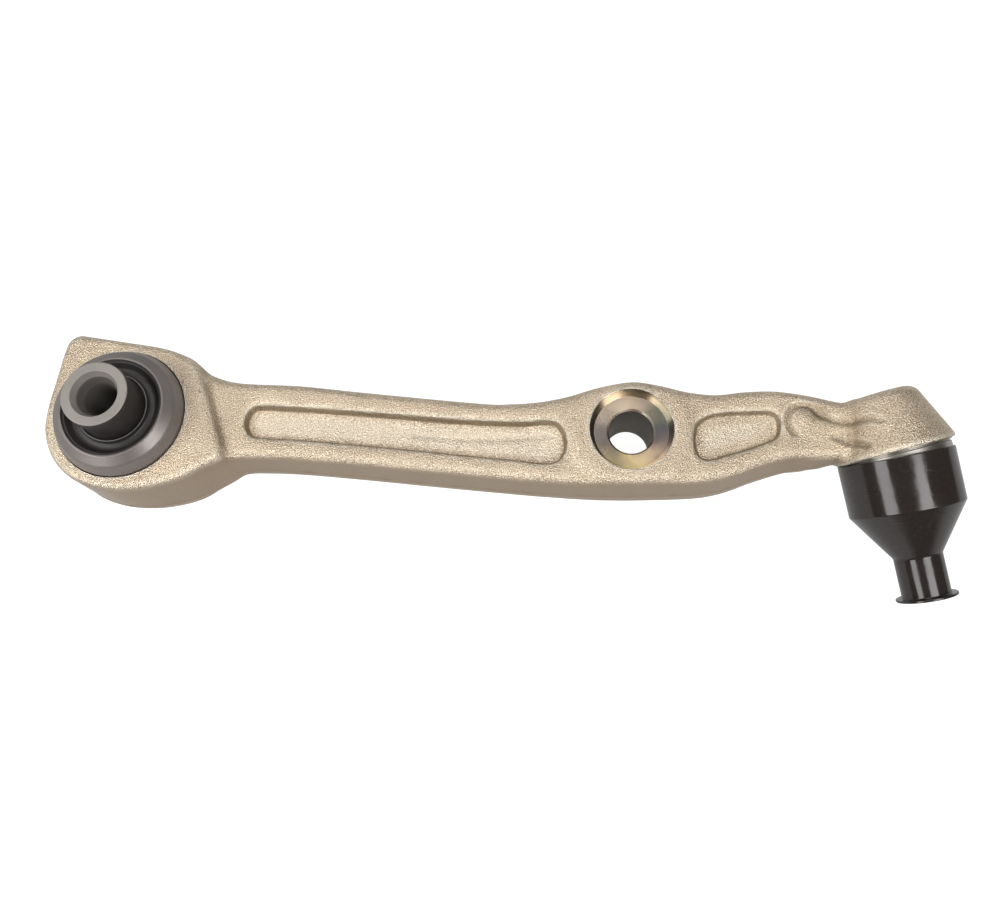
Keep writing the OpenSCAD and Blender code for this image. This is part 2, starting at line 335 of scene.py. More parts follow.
def turned(
    corners: Sequence[tuple[float, float, float]],
    axis: Axis,
    closed: bool = True,
    sides: int = 144,
    arc: int = 5,
    ripple: Callable[[Array, Array], Array] | None = None,
) -> Skin:
    """A turned part: the rounded profile carried round the axis, so a point at turn angle a lies at
    the origin plus r (u cos a + v sin a) plus h w.

    Args:
        corners: radius, height and corner radius of each corner; the solid is on the left of the path.
        axis: the line to turn about.
        closed: whether the profile is a loop; if not, it starts and ends on the axis, each in one point.
        sides: how many strips go round.
        arc: rows on each rounded corner.
        ripple: optional change of radius, as a function of turn angle and height.
    Returns:
        The skin, with UVs: turn from 0 to 1, and distance along the profile in metres.
    """
    profile, out = rounded(corners, closed, arc)
    rows = len(profile)
    u, v, w = axis.basis()
    angle = np.arange(sides) * TURN / sides
    cos, sin = np.cos(angle)[:, None, None], np.sin(angle)[:, None, None]
    radius = np.tile(profile[:, 0], (sides, 1))
    if ripple is not None:
        radius = radius + ripple(angle[:, None], profile[None, :, 1])
    ring = u * cos + v * sin
    points = np.asarray(axis.origin) + ring * radius[..., None] + w * profile[None, :, 1, None]
    normals = ring * out[None, :, 0, None] + w * out[None, :, 1, None]
    spans = rows if closed else rows - 1
    i, j = np.meshgrid(np.arange(sides), np.arange(spans), indexing="ij")
    i2, j2 = (i + 1) % sides, (j + 1) % rows
    quads = np.stack([i * rows + j, i2 * rows + j, i2 * rows + j2, i * rows + j2], -1).reshape(-1, 4)
    run = np.concatenate([[0], np.cumsum(np.linalg.norm(np.diff(profile, axis=0), axis=1))]) * MM
    loop = np.append(run, run[-1] + np.linalg.norm(profile[0] - profile[-1]) * MM)
    tu0, tu1 = i / sides, (i + 1) / sides
    tv0, tv1 = loop[j], loop[j + 1]
    uv = np.stack([tu0, tv0, tu1, tv0, tu1, tv1, tu0, tv1], -1).reshape(-1, 4, 2)
    if not closed:
        # all of an end row's points are one, so the faces beside it are triangles
        first, last = j.ravel() == 0, j.ravel() == spans - 1
        for row in (0, rows - 1):
            quads[quads % rows == row] = row
        quads[first], uv[first] = np.roll(quads[first], -1, axis=1), np.roll(uv[first], -1, axis=1)
        quads[first | last, 3] = -1
    used, place = np.unique(quads[quads >= 0], return_inverse=True)
    quads[quads >= 0] = place.ravel()
    return Skin(points.reshape(-1, 3)[used], quads, uv, normals.reshape(-1, 3)[used])


def contour(solid: Callable[[Array], Array], low: Array, high: Array, cell: float) -> Skin:
    """The skin of a solid given by a distance field, with its sharp edges kept.

    Space is cut into cubes. Where an edge of the cubes passes through the surface, the crossing point
    and the surface's slope there are worked out. Each cube that the surface passes through gets one
    corner, at the place that lies best on all the tangent planes of its crossings, and each crossed
    edge gets one face between the corners of its four cubes.

    Args:
        solid: distance to the solid for points one a row, negative inside.
        low, high: the box to search, in mm.
        cell: the cubes' size, in mm.
    Returns:
        The skin, with faces outwards.
    """
    lines = [np.arange(low[k], high[k] + cell, cell) for k in range(3)]
    shape = tuple(len(line) for line in lines)
    values = np.empty(shape, np.float32)
    y, z = (g.ravel() for g in np.meshgrid(lines[1], lines[2], indexing="ij"))
    for block in np.array_split(np.arange(shape[0]), 24):
        x = np.repeat(lines[0][block], len(y))
        at = np.stack([x, np.tile(y, len(block)), np.tile(z, len(block))], 1)
        values[block] = solid(at).reshape(len(block), *shape[1:])
    start = np.array([line[0] for line in lines])
    cubes = np.array(shape) - 1
    crossings, slopes, rings = [], [], []
    for k in range(3):
        near = [slice(None)] * 3
        far = [slice(None)] * 3
        near[k], far[k] = slice(0, -1), slice(1, None)
        first, last = values[tuple(near)], values[tuple(far)]
        corner = np.stack(np.nonzero((first < 0) != (last < 0)), 1)
        one, two = first[tuple(corner.T)], last[tuple(corner.T)]
        step = np.zeros(3)
        step[k] = cell
        a = start + corner * cell
        t0, t1 = np.zeros(len(a)), np.ones(len(a))
        f0, f1 = one.astype(float), two.astype(float)
        for _ in range(4):
            t = t0 + (t1 - t0) * np.clip(f0 / (f0 - f1), 0.05, 0.95)
            f = solid(a + t[:, None] * step)
            same = (f < 0) == (f0 < 0)
            t0, f0 = np.where(same, t, t0), np.where(same, f, f0)
            t1, f1 = np.where(same, t1, t), np.where(same, f1, f)
        t = t0 + (t1 - t0) * f0 / np.where(f0 == f1, 1, f0 - f1)
        at = a + t[:, None] * step
        m, n = (k + 1) % 3, (k + 2) % 3
        around = np.repeat(corner[:, None], 4, axis=1)
        around[:, :, m] += np.array([-1, 0, 0, -1])
        around[:, :, n] += np.array([-1, -1, 0, 0])
        around[one >= 0] = around[one >= 0][:, ::-1]
        crossings.append(at)
        slopes.append(slope(solid, at))
        ring = np.ravel_multi_index(tuple(around.reshape(-1, 3).T), tuple(cubes), mode="clip")
        rings.append(ring.reshape(-1, 4))
    at, n, ring = np.vstack(crossings), np.vstack(slopes), np.vstack(rings)
    used, quads = np.unique(ring, return_inverse=True)
    quads = quads.reshape(ring.shape)
    owner = quads.ravel()
    p = np.repeat(at, 4, axis=0)
    n = np.repeat(n, 4, axis=0)
    count = np.bincount(owner)
    middle = np.stack([np.bincount(owner, p[:, k]) for k in range(3)], 1) / count[:, None]
    pull = ((p - middle[owner]) * n).sum(1)
    weak = 0.04  # holds a corner near the middle where its planes leave it free
    matrix = np.empty((len(used), 3, 3))
    right = np.empty((len(used), 3))
    for r in range(3):
        right[:, r] = np.bincount(owner, n[:, r] * pull)
        for c in range(3):
            matrix[:, r, c] = np.bincount(owner, n[:, r] * n[:, c]) + (weak if r == c else 0)
    move = np.linalg.solve(matrix, right[..., None])[..., 0]
    cube = start + np.stack(np.unravel_index(used, tuple(cubes)), 1) * cell
    points = np.clip(middle + move, cube - 0.1 * cell, cube + 1.1 * cell)
    return Skin(points, quads)


def slope(solid: Callable[[Array], Array], at: Array, reach: float = 0.02) -> Array:
    """The field's unit slope at points one a row, from its values a little to each side."""
    steps = np.eye(3) * reach
    raw = np.stack([solid(at + s) - solid(at - s) for s in steps], 1)
    return raw / np.maximum(np.linalg.norm(raw, axis=1, keepdims=True), 1e-12)


# ---------------------------------------------------------------- shader tools


class Graph:
    """Short names for building node trees."""

    def __init__(self, tree: bpy.types.NodeTree) -> None:
        """Keeps the tree to build in."""
        self.tree = tree

    def node(self, kind: str, **settings: object) -> bpy.types.Node:
        """Adds a node.

        Args:
            kind: the node's type without its "ShaderNode" start.
            settings: properties to set, and sockets by name with spaces as underscores.
        Returns:
            The node.
        """
        made = self.tree.nodes.new("ShaderNode" + kind)
        for key, value in settings.items():
            if hasattr(made, key):
                setattr(made, key, value)
            else:
                self.feed(made, key.replace("_", " "), value)
        return made

    def feed(self, node: bpy.types.Node, socket: str | int, value: object) -> None:
        """Links or sets one input socket of a node."""
        target = node.inputs[socket]
        if isinstance(value, bpy.types.NodeSocket):
            self.tree.links.new(value, target)
        else:
            target.default_value = value

    def math(self, how: str, a: object, b: object = 0.0, clamp: bool = False) -> bpy.types.NodeSocket:
        """One Math node on two values or sockets; returns its output socket."""
        node = self.node("Math", operation=how, use_clamp=clamp)
        self.feed(node, 0, a)
        self.feed(node, 1, b)
        return node.outputs[0]

    def mix(self, factor: object, a: object, b: object) -> bpy.types.NodeSocket:
        """Mixes two colours; returns the result's socket."""
        node = self.node("Mix", data_type="RGBA")
        self.feed(node, 0, factor)
        self.feed(node, 6, a)
        self.feed(node, 7, b)
        return node.outputs[2]

    def fit(
        self, value: object, low: float, high: float, to_low: float, to_high: float
    ) -> bpy.types.NodeSocket:
        """Maps a value from one range to another, clamped; returns the result's socket."""
        node = self.node("MapRange", clamp=True)
        for k, v in enumerate((value, low, high, to_low, to_high)):
            self.feed(node, k, v)
        return node.outputs[0]

    def noise(
        self, at: object, scale: float, detail: float = 2.0, rough: float = 0.5
    ) -> bpy.types.NodeSocket:
        """Smooth noise at a place; returns its value, about 0.5 in the middle."""
        node = self.node("TexNoise", noise_dimensions="3D", Scale=scale, Detail=detail, Roughness=rough)
        self.feed(node, "Vector", at)
        return node.outputs["Fac"]


class Effect(Enum):
    """The shared effects: each is one node group, used by several finishes with their own values."""

    BLAST_GRAIN = "Blast grain"
    TURNED_RINGS = "Turned rings"
    HANDLING = "Handling marks"

    def group(self) -> bpy.types.NodeTree:
        """Returns the effect's node group, built on first use."""
        made = bpy.data.node_groups.get(self.value)
        if made is None:
            made = bpy.data.node_groups.new(self.value, "ShaderNodeTree")
            {
                Effect.BLAST_GRAIN: build_blast_grain,
                Effect.TURNED_RINGS: build_turned_rings,
                Effect.HANDLING: build_handling,
            }[self](made)
        return made


def sockets(tree: bpy.types.NodeTree, inputs: dict[str, float | None], outputs: Sequence[str]) -> Graph:
    """Gives a node group its sockets: an input with a value is a number, with None a place.

    Args:
        tree: the group.
        inputs: names and default values.
        outputs: names of the values that it gives out.
    Returns:
        The group's graph, with its two end nodes named In and Out.
    """
    for name, value in inputs.items():
        kind = "NodeSocketVector" if value is None else "NodeSocketFloat"
        socket = tree.interface.new_socket(name, in_out="INPUT", socket_type=kind)
        if value is not None:
            socket.default_value = value
    for name in outputs:
        tree.interface.new_socket(name, in_out="OUTPUT", socket_type="NodeSocketFloat")
    tree.nodes.new("NodeGroupInput").name = "In"
    tree.nodes.new("NodeGroupOutput").name = "Out"
    return Graph(tree)


def build_blast_grain(tree: bpy.types.NodeTree) -> None:
    """Shot-blasted skin: small round dents of two sizes over a slow unevenness. Height is their sum,
    Glint marks the tops, where the zinc finish paints glints, Pit the bottoms, and Patch varies slowly
    over the piece."""
    g = sockets(tree, {"Place": None, "Grain Size": 1.0, "Depth": 1.0}, ["Height", "Glint", "Pit", "Patch"])
    start, end = tree.nodes["In"], tree.nodes["Out"]
    at = g.node("VectorMath", operation="DIVIDE")
    g.feed(at, 0, start.outputs["Place"])
    g.feed(at, 1, start.outputs["Grain Size"])
    place = at.outputs[0]
    dents = g.node("TexVoronoi", feature="SMOOTH_F1", Scale=1700.0, Smoothness=0.5)
    g.feed(dents, "Vector", place)
    fine = g.noise(place, 2000.0, 2.0, 0.6)
    coarse = g.noise(place, 1000.0, 3.0, 0.6)
    slow = g.noise(start.outputs["Place"], 55.0, 3.0, 0.55)
    rough = g.math("ADD", g.math("MULTIPLY", dents.outputs["Distance"], 0.6), g.math("MULTIPLY", fine, 0.5))
    height = g.math("ADD", rough, g.math("MULTIPLY", coarse, 0.4))
    g.feed(end, "Height", g.math("MULTIPLY", height, start.outputs["Depth"]))
    g.feed(end, "Glint", g.fit(fine, 0.52, 0.64, 0.0, 1.0))
    g.feed(end, "Pit", g.fit(fine, 0.50, 0.36, 0.0, 1.0))
    g.feed(end, "Patch", g.fit(slow, 0.3, 0.7, 0.0, 1.0))


def build_turned_rings(tree: bpy.types.NodeTree) -> None:
    """Marks of a turning tool: fine rings at an even pitch along the profile, each a little uneven in
    depth round the turn. Height is the rings' shape and Shade a slow change between bands."""
    g = sockets(tree, {"Place": None, "Pitch": 0.0003, "Depth": 1.0}, ["Height", "Shade"])
    start, end = tree.nodes["In"], tree.nodes["Out"]
    split = g.node("SeparateXYZ")
    g.feed(split, 0, start.outputs["Place"])
    phase = g.math("MULTIPLY", g.math("DIVIDE", split.outputs[1], start.outputs["Pitch"]), TURN)
    wave = g.math("SINE", phase)
    stretch = g.node("CombineXYZ")
    g.feed(stretch, 0, g.math("MULTIPLY", split.outputs[0], 6.0))
    g.feed(stretch, 1, g.math("MULTIPLY", split.outputs[1], 9000.0))
    band = g.noise(stretch.outputs[0], 1.0, 3.0, 0.6)
    height = g.math("MULTIPLY", g.math("ADD", g.math("MULTIPLY", wave, 0.4), band), start.outputs["Depth"])
    g.feed(end, "Height", height)
    g.feed(end, "Shade", g.fit(band, 0.3, 0.7, 0.0, 1.0))


def build_handling(tree: bpy.types.NodeTree) -> None:
    """Traces of handling: Scratch is a few fine straight lines in two directions, Dust a thin uneven
    film, and Smudge broad soft patches."""
    g = sockets(tree, {"Place": None, "Scratches": 1.0}, ["Scratch", "Dust", "Smudge"])
    start, end = tree.nodes["In"], tree.nodes["Out"]
    place = start.outputs["Place"]
    lines = []
    for turn, stretch in ((0.5, (30.0, 1400.0, 200.0)), (2.1, (1200.0, 45.0, 260.0))):
        mapping = g.node("Mapping")
        g.feed(mapping, "Vector", place)
        g.feed(mapping, "Rotation", (0.3, 0.2, turn))
        g.feed(mapping, "Scale", stretch)
        lines.append(g.fit(g.noise(mapping.outputs[0], 1.0, 1.0, 0.4), 0.72, 0.78, 0.0, 1.0))
    scratch = g.math("MAXIMUM", lines[0], lines[1])
    g.feed(end, "Scratch", g.math("MULTIPLY", scratch, start.outputs["Scratches"], clamp=True))
    g.feed(end, "Dust", g.fit(g.noise(place, 900.0, 4.0, 0.7), 0.5, 0.75, 0.0, 1.0))
    g.feed(end, "Smudge", g.fit(g.noise(place, 70.0, 3.0, 0.55), 0.35, 0.7, 0.0, 1.0))


@dataclass(frozen=True)
class Finish:
    """What all finishes share.

    Attributes:
        name: the material's name.
    """

    name: str

    def material(self) -> bpy.types.Material:
        """Returns the finish's material, built on first use."""
        made = bpy.data.materials.get(self.name)
        if made is None:
            made = bpy.data.materials.new(self.name)
            made.use_nodes = True
            made.node_tree.nodes.clear()
            g = Graph(made.node_tree)
            shader = g.node("BsdfPrincipled")
            out = g.node("OutputMaterial")
            made.node_tree.links.new(shader.outputs[0], out.inputs[0])
            self.dress(g, shader)
        return made

    def dress(self, g: Graph, shader: bpy.types.Node) -> None:
        """Sets the shader up; each finish has its own."""
        raise NotImplementedError

    @staticmethod
    def place(g: Graph) -> bpy.types.NodeSocket:
        """The point's place in the object's own coordinates, in metres."""
        return g.node("TexCoord").outputs["Object"]

    @staticmethod
    def mask(g: Graph, name: str) -> bpy.types.NodeSocket:
        """The value of one of the mesh's own masks."""
        return g.node("Attribute", attribute_type="GEOMETRY", attribute_name=name).outputs["Fac"]

    @staticmethod
    def effect(g: Graph, effect: Effect, **values: object) -> bpy.types.Node:
        """Places an effect's group with its own values."""
        made = g.node("Group")
        made.node_tree = effect.group()
        for key, value in values.items():
            g.feed(made, key.replace("_", " "), value)
        return made

    @staticmethod
    def smudged(
        g: Graph, marks: bpy.types.Node, mean: float, less: float, more: float
    ) -> bpy.types.NodeSocket:
        """Roughness that runs from less under its mean to more over it across the smudges.

        Args:
            g: the material's graph.
            marks: the placed Handling marks group.
            mean: the finish's mean roughness.
            less, more: how far it goes under and over the mean.
        Returns:
            The roughness's socket.
        """
        return g.fit(marks.outputs["Smudge"], 0, 1, mean - less, mean + more)

    @staticmethod
    def bump(g: Graph, height: object, depth: float, under: object = None) -> bpy.types.NodeSocket:
        """A Bump node of a given depth in metres; returns its normal."""
        node = g.node("Bump", Distance=depth, Strength=1.0)
        g.feed(node, "Height", height)
        if under is not None:
            g.feed(node, "Normal", under)
        return node.outputs[0]


@dataclass(frozen=True)
class BlastedZinc(Finish):
    """Shot-blasted forging under a pale yellow-passivated zinc coat.

    Attributes:
        light, dark: colours of the coat's two shades.
        side: colour of the side walls, a painted shade that darkens them.
        wear_and_highlight: colour of rubbed edges, partly wear and partly a painted highlight, of the
        painted highlight on the pocket floors and of the painted glints on the grain's tops.
        pit_and_shade: colour in the small dents, and the painted shade in steep pocket walls and die marks.
        roughness: mean roughness of the blasted skin.
        spread: how far the roughness strays from it.
        grain: depth of the grain, in metres.
        pitted, glinting, grained: strength of the dents' colour, of the painted glints on the tops and of
        the grain's height, on the faces and on the side walls.
    """

    light: Colour = (0.80, 0.635, 0.455, 1)
    dark: Colour = (0.62, 0.48, 0.335, 1)
    side: Colour = (0.30, 0.225, 0.155, 1)
    wear_and_highlight: Colour = (0.97, 0.93, 0.80, 1)
    pit_and_shade: Colour = (0.22, 0.175, 0.115, 1)
    roughness: float = 0.36
    spread: float = 0.05
    grain: float = 0.00045
    pitted: tuple[float, float] = (0.65, 0.15)
    glinting: tuple[float, float] = (0.7, 0.15)
    grained: tuple[float, float] = (1.0, 0.35)

    def dress(self, g: Graph, shader: bpy.types.Node) -> None:
        """Grain, painted glints and two slow shades, painted shade on the side walls and in the recesses,
        and rubbed edges brightened, partly as a painted highlight.
        """
        place = self.place(g)
        grain = self.effect(g, Effect.BLAST_GRAIN, Place=place, Grain_Size=1.0, Depth=1.0)
        marks = self.effect(g, Effect.HANDLING, Place=place, Scratches=0.5)
        side, edge, painted_shade = (self.mask(g, m) for m in ("side", "edge", "painted_shade"))
        colour = g.mix(grain.outputs["Patch"], self.dark, self.light)
        dents = g.math("MULTIPLY", grain.outputs["Pit"], g.fit(side, 0, 1, *self.pitted))
        colour = g.mix(dents, colour, self.pit_and_shade)
        # painted glints: the grain's tops are mixed towards the pale colour
        tops = g.math("MULTIPLY", grain.outputs["Glint"], g.fit(side, 0, 1, *self.glinting))
        colour = g.mix(tops, colour, self.wear_and_highlight)
        # painted shade: the side walls are darkened
        colour = g.mix(g.math("MULTIPLY", side, 0.8), colour, self.side)
        # rubbed edges, partly wear and partly a painted highlight, and the pocket floors as a painted
        # highlight
        colour = g.mix(g.math("MULTIPLY", edge, 0.35), colour, self.wear_and_highlight)
        # painted shade: the pockets' steep walls and the die's marks are darkened
        colour = g.mix(g.math("MULTIPLY", painted_shade, 0.7), colour, self.pit_and_shade)
        g.feed(shader, "Base Color", colour)
        shader.inputs["Metallic"].default_value = 0.85
        low, high = self.roughness - self.spread, self.roughness + self.spread
        patchy = g.fit(grain.outputs["Patch"], 0, 1, low, high)
        g.feed(shader, "Roughness", g.math("ADD", patchy, g.math("MULTIPLY", marks.outputs["Smudge"], 0.06)))
        depth = g.math("MULTIPLY", grain.outputs["Height"], g.fit(side, 0, 1, *self.grained))
        g.feed(shader, "Normal", self.bump(g, depth, self.grain))


@dataclass(frozen=True)
class TurnedMetal(Finish):
    """A turned steel or zinc face.

    Attributes:
        light, dark: the metal's two shades.
        roughness: its mean roughness.
        pitch: the tool marks' pitch in metres.
        depth: the tool marks' depth in metres.
        anisotropy: how far the highlight is drawn out across the marks.
        tint_and_reflection: strength of the passivation colours round the turn, which also paint a
        reflection: bright on the sides towards -Y and +Y, dark on those towards -X and +X.
        metallic: 1 for bare metal, less under a grey coat.
        scratches: how many fine scratches it carries, from 0 to 1.
    """

    light: Colour = (0.72, 0.70, 0.66, 1)
    dark: Colour = (0.52, 0.50, 0.48, 1)
    roughness: float = 0.25
    pitch: float = 0.0004
    depth: float = 0.00001
    anisotropy: float = 0.6
    tint_and_reflection: float = 0.0
    metallic: float = 1.0
    scratches: float = 0.5

    def dress(self, g: Graph, shader: bpy.types.Node) -> None:
        """Rings from the tool, bands of two shades, and a passivation tint that changes round the turn,
        with a painted reflection in it.
        """
        turn = g.node("UVMap", uv_map="UVMap").outputs[0]
        place = self.place(g)
        rings = self.effect(g, Effect.TURNED_RINGS, Place=turn, Pitch=self.pitch, Depth=1.0)
        marks = self.effect(g, Effect.HANDLING, Place=place, Scratches=self.scratches)
        colour = g.mix(rings.outputs["Shade"], self.dark, self.light)
        if self.tint_and_reflection:
            split = g.node("SeparateXYZ")
            g.feed(split, 0, turn)
            wander = g.math("MULTIPLY", g.math("SUBTRACT", g.noise(place, 90.0, 2.0), 0.5), 0.2)
            phase = g.math("ADD", split.outputs[0], wander)
            # the ramp holds the passivation tint and a painted reflection, bright and dark by turn angle
            ramp = g.node("ValToRGB")
            ramp.color_ramp.interpolation = "B_SPLINE"
            stops = ramp.color_ramp.elements
            for at, tint in TINTS_AND_REFLECTION:
                stop = stops[0] if at == 0 else stops[-1] if at == 1 else stops.new(at)
                stop.color = tint
            g.feed(ramp, 0, g.math("FRACT", phase))
            colour = g.mix(self.tint_and_reflection, colour, ramp.outputs[0])
        g.feed(shader, "Base Color", colour)
        shader.inputs["Metallic"].default_value = self.metallic
        shader.inputs["Anisotropic"].default_value = self.anisotropy
        shader.inputs["Anisotropic Rotation"].default_value = 0.25
        tangent = g.node("Tangent", direction_type="UV_MAP", uv_map="UVMap")
        g.feed(shader, "Tangent", tangent.outputs[0])
        g.feed(shader, "Roughness", self.smudged(g, marks, self.roughness, 0.04, 0.06))
        scratched = g.math("MULTIPLY", marks.outputs["Scratch"], 0.8)
        height = g.math("SUBTRACT", rings.outputs["Height"], scratched)
        g.feed(shader, "Normal", self.bump(g, height, self.depth))


@dataclass(frozen=True)
class MouldedRubber(Finish):
    """Moulded black rubber.

    Attributes:
        colour, bloom: the rubber and the pale film on it.
        roughness: its mean roughness.
    """

    colour: Colour = (0.020, 0.017, 0.016, 1)
    bloom: Colour = (0.055, 0.047, 0.043, 1)
    roughness: float = 0.5

    def dress(self, g: Graph, shader: bpy.types.Node) -> None:
        """An uneven film over black, and a fine moulded skin."""
        place = self.place(g)
        marks = self.effect(g, Effect.HANDLING, Place=place, Scratches=0.0)
        grain = self.effect(g, Effect.BLAST_GRAIN, Place=place, Grain_Size=0.7, Depth=1.0)
        film = g.math("MULTIPLY", marks.outputs["Smudge"], 0.5)
        g.feed(shader, "Base Color", g.mix(film, self.colour, self.bloom))
        g.feed(shader, "Roughness", self.smudged(g, marks, self.roughness, 0.06, 0.1))
        g.feed(shader, "Normal", self.bump(g, grain.outputs["Height"], 0.00002))


@dataclass(frozen=True)
class MouldedPlastic(Finish):
    """Injection-moulded plastic.

    Attributes:
        colour, dust: the plastic and the dust on it.
        roughness: its mean roughness.
        scratches: how many fine scratches it carries, from 0 to 1.
    """

    colour: Colour = (0.022, 0.017, 0.015, 1)
    dust: Colour = (0.10, 0.09, 0.085, 1)
    roughness: float = 0.13
    scratches: float = 0.5

    def dress(self, g: Graph, shader: bpy.types.Node) -> None:
        """Gloss broken by fine scratches, smudges, and a little dust."""
        place = self.place(g)
        marks = self.effect(g, Effect.HANDLING, Place=place, Scratches=self.scratches)
        film = g.math("ADD", g.math("MULTIPLY", marks.outputs["Dust"], 0.12),
                      g.math("MULTIPLY", marks.outputs["Scratch"], 0.35))
        g.feed(shader, "Base Color", g.mix(film, self.colour, self.dust))
        rough = self.smudged(g, marks, self.roughness, 0.03, 0.08)
        rough = g.math("ADD", rough, g.math("MULTIPLY", marks.outputs["Scratch"], 0.25))
        g.feed(shader, "Roughness", rough)
        slow = g.noise(place, 180.0, 1.0)
        slow = g.math("ADD", slow, g.math("MULTIPLY", marks.outputs["Scratch"], -0.15))
        g.feed(shader, "Normal", self.bump(g, slow, 0.00005))


# Passivation colours round the strut's seat, from the lower side round by the ball joint's side;
# the bright stops below and above and the near-black ones at both sides are a painted reflection
TINTS_AND_REFLECTION = (
    (0.0, (1.0, 0.80, 0.40, 1)), (0.1, (0.72, 0.52, 0.36, 1)), (0.18, (0.16, 0.125, 0.13, 1)),
    (0.28, (0.07, 0.075, 0.09, 1)), (0.36, (0.16, 0.17, 0.12, 1)), (0.48, (0.84, 0.66, 0.50, 1)),
    (0.6, (0.62, 0.50, 0.36, 1)), (0.74, (0.07, 0.062, 0.07, 1)), (0.86, (0.12, 0.095, 0.085, 1)),
    (1.0, (1.0, 0.80, 0.40, 1)),
)
ZINC = BlastedZinc("Blasted zinc")
# the strut face's colour is mostly the tint ramp, with its painted reflection
STRUT_FACE = TurnedMetal("Passivated turned zinc", light=(0.56, 0.51, 0.44, 1), dark=(0.38, 0.34, 0.29, 1),
                         roughness=0.3, depth=0.000004, anisotropy=0.5, tint_and_reflection=0.9, scratches=0.0)
STRUT_CONE = TurnedMetal("Passivated turned cone", light=(0.82, 0.76, 0.64, 1), dark=(0.66, 0.60, 0.50, 1),
                         roughness=0.14, anisotropy=0.5, tint_and_reflection=0.12, scratches=0.0)
# painted shade: the bore is the same zinc, made dark in colour
STRUT_BORE_SHADE = TurnedMetal("Passivated bore painted shade", light=(0.16, 0.14, 0.12, 1), dark=(0.10, 0.085, 0.07, 1),
                         roughness=0.5, anisotropy=0.0)
COLLAR_STEEL = TurnedMetal("Turned collar", light=(0.50, 0.47, 0.42, 1), dark=(0.30, 0.28, 0.25, 1),
                           roughness=0.42)
SHELL_STEEL = TurnedMetal("Phosphated shell", light=(0.30, 0.27, 0.255, 1), dark=(0.20, 0.178, 0.17, 1),
                          roughness=0.42, anisotropy=0.2, pitch=0.0006, metallic=0.55)
SLEEVE_STEEL = TurnedMetal("Sleeve steel", light=(0.36, 0.33, 0.305, 1), dark=(0.27, 0.245, 0.225, 1),
                           roughness=0.45, anisotropy=0.1, depth=0.00002, metallic=0.3)
# painted shade: the sleeve's bore, a darker copy of the sleeve steel
SLEEVE_BORE_SHADE = TurnedMetal("Sleeve bore painted shade", light=(0.20, 0.18, 0.165, 1), dark=(0.13, 0.115, 0.105, 1),
                          roughness=0.5, anisotropy=0.1, depth=0.00002, metallic=0.4)
BRIGHT_STEEL = TurnedMetal("Bright steel", roughness=0.2)
WIRE_STEEL = TurnedMetal("Clip wire", roughness=0.3, anisotropy=0.0)
BUSH_RUBBER = MouldedRubber("Bushing rubber", roughness=0.48)
BOOT_RUBBER = MouldedRubber("Boot rubber", roughness=0.5)
# painted highlight: a pale ring on the black rubber beside the sleeve
RUBBER_RING_HIGHLIGHT = MouldedRubber("Painted rubber ring highlight", colour=(0.16, 0.15, 0.145, 1), bloom=(0.24, 0.23, 0.22, 1))
CAP_PLASTIC = MouldedPlastic("Cap plastic")
SEAT_PLASTIC = MouldedPlastic("White plastic", colour=(0.78, 0.76, 0.68, 1), dust=(0.6, 0.57, 0.5, 1),
                              roughness=0.35, scratches=0.2)


def place_piece(piece: bpy.types.Object, body: str, slot: str, *nodes: str) -> bpy.types.Object:
    """Ties a finished piece to the model.

    Args:
        piece: the finished piece.
        body: the body that it moves with.
        slot: the record's material slot; not used.
        nodes: the CAD nodes that it stands for.
    Returns:
        The piece.
    """
    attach(piece, body)
    if nodes:
        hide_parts(*nodes)
    LOG.info("%s: %d faces, on %s", piece.name, len(piece.data.polygons), body)
    return piece


# ---------------------------------------------------------------- sub-assemblies


def lean_and_dip(lean: float, dip: float) -> tuple[float, float, float]:
    """A direction given by its lean from -Y towards +X and its dip below the XY plane, in degrees."""
    a, b = math.radians(lean), math.radians(dip)
    return (math.sin(a) * math.cos(b), -math.cos(a) * math.cos(b), -math.sin(b))


def joint(name: str) -> dict:
    """The record's joint of that name."""
    return next(j for j in frame["record"]["behaviour"]["joints"] if j["name"] == name)


BALL = tuple(float(v) / MM for v in joint("ball_swing_side")["pos_m"])
STUD_AXIS = Axis(BALL, tuple(joint("stud_spin")["axis"]))
HOUSING_AXIS = Axis(BALL, lean_and_dip(17.5, 11.5))
BUSH_AXIS = Axis((0.0, 0.0, 0.0), (0.0, 0.0, 1.0))
STRUT = (220.0, 1.0)


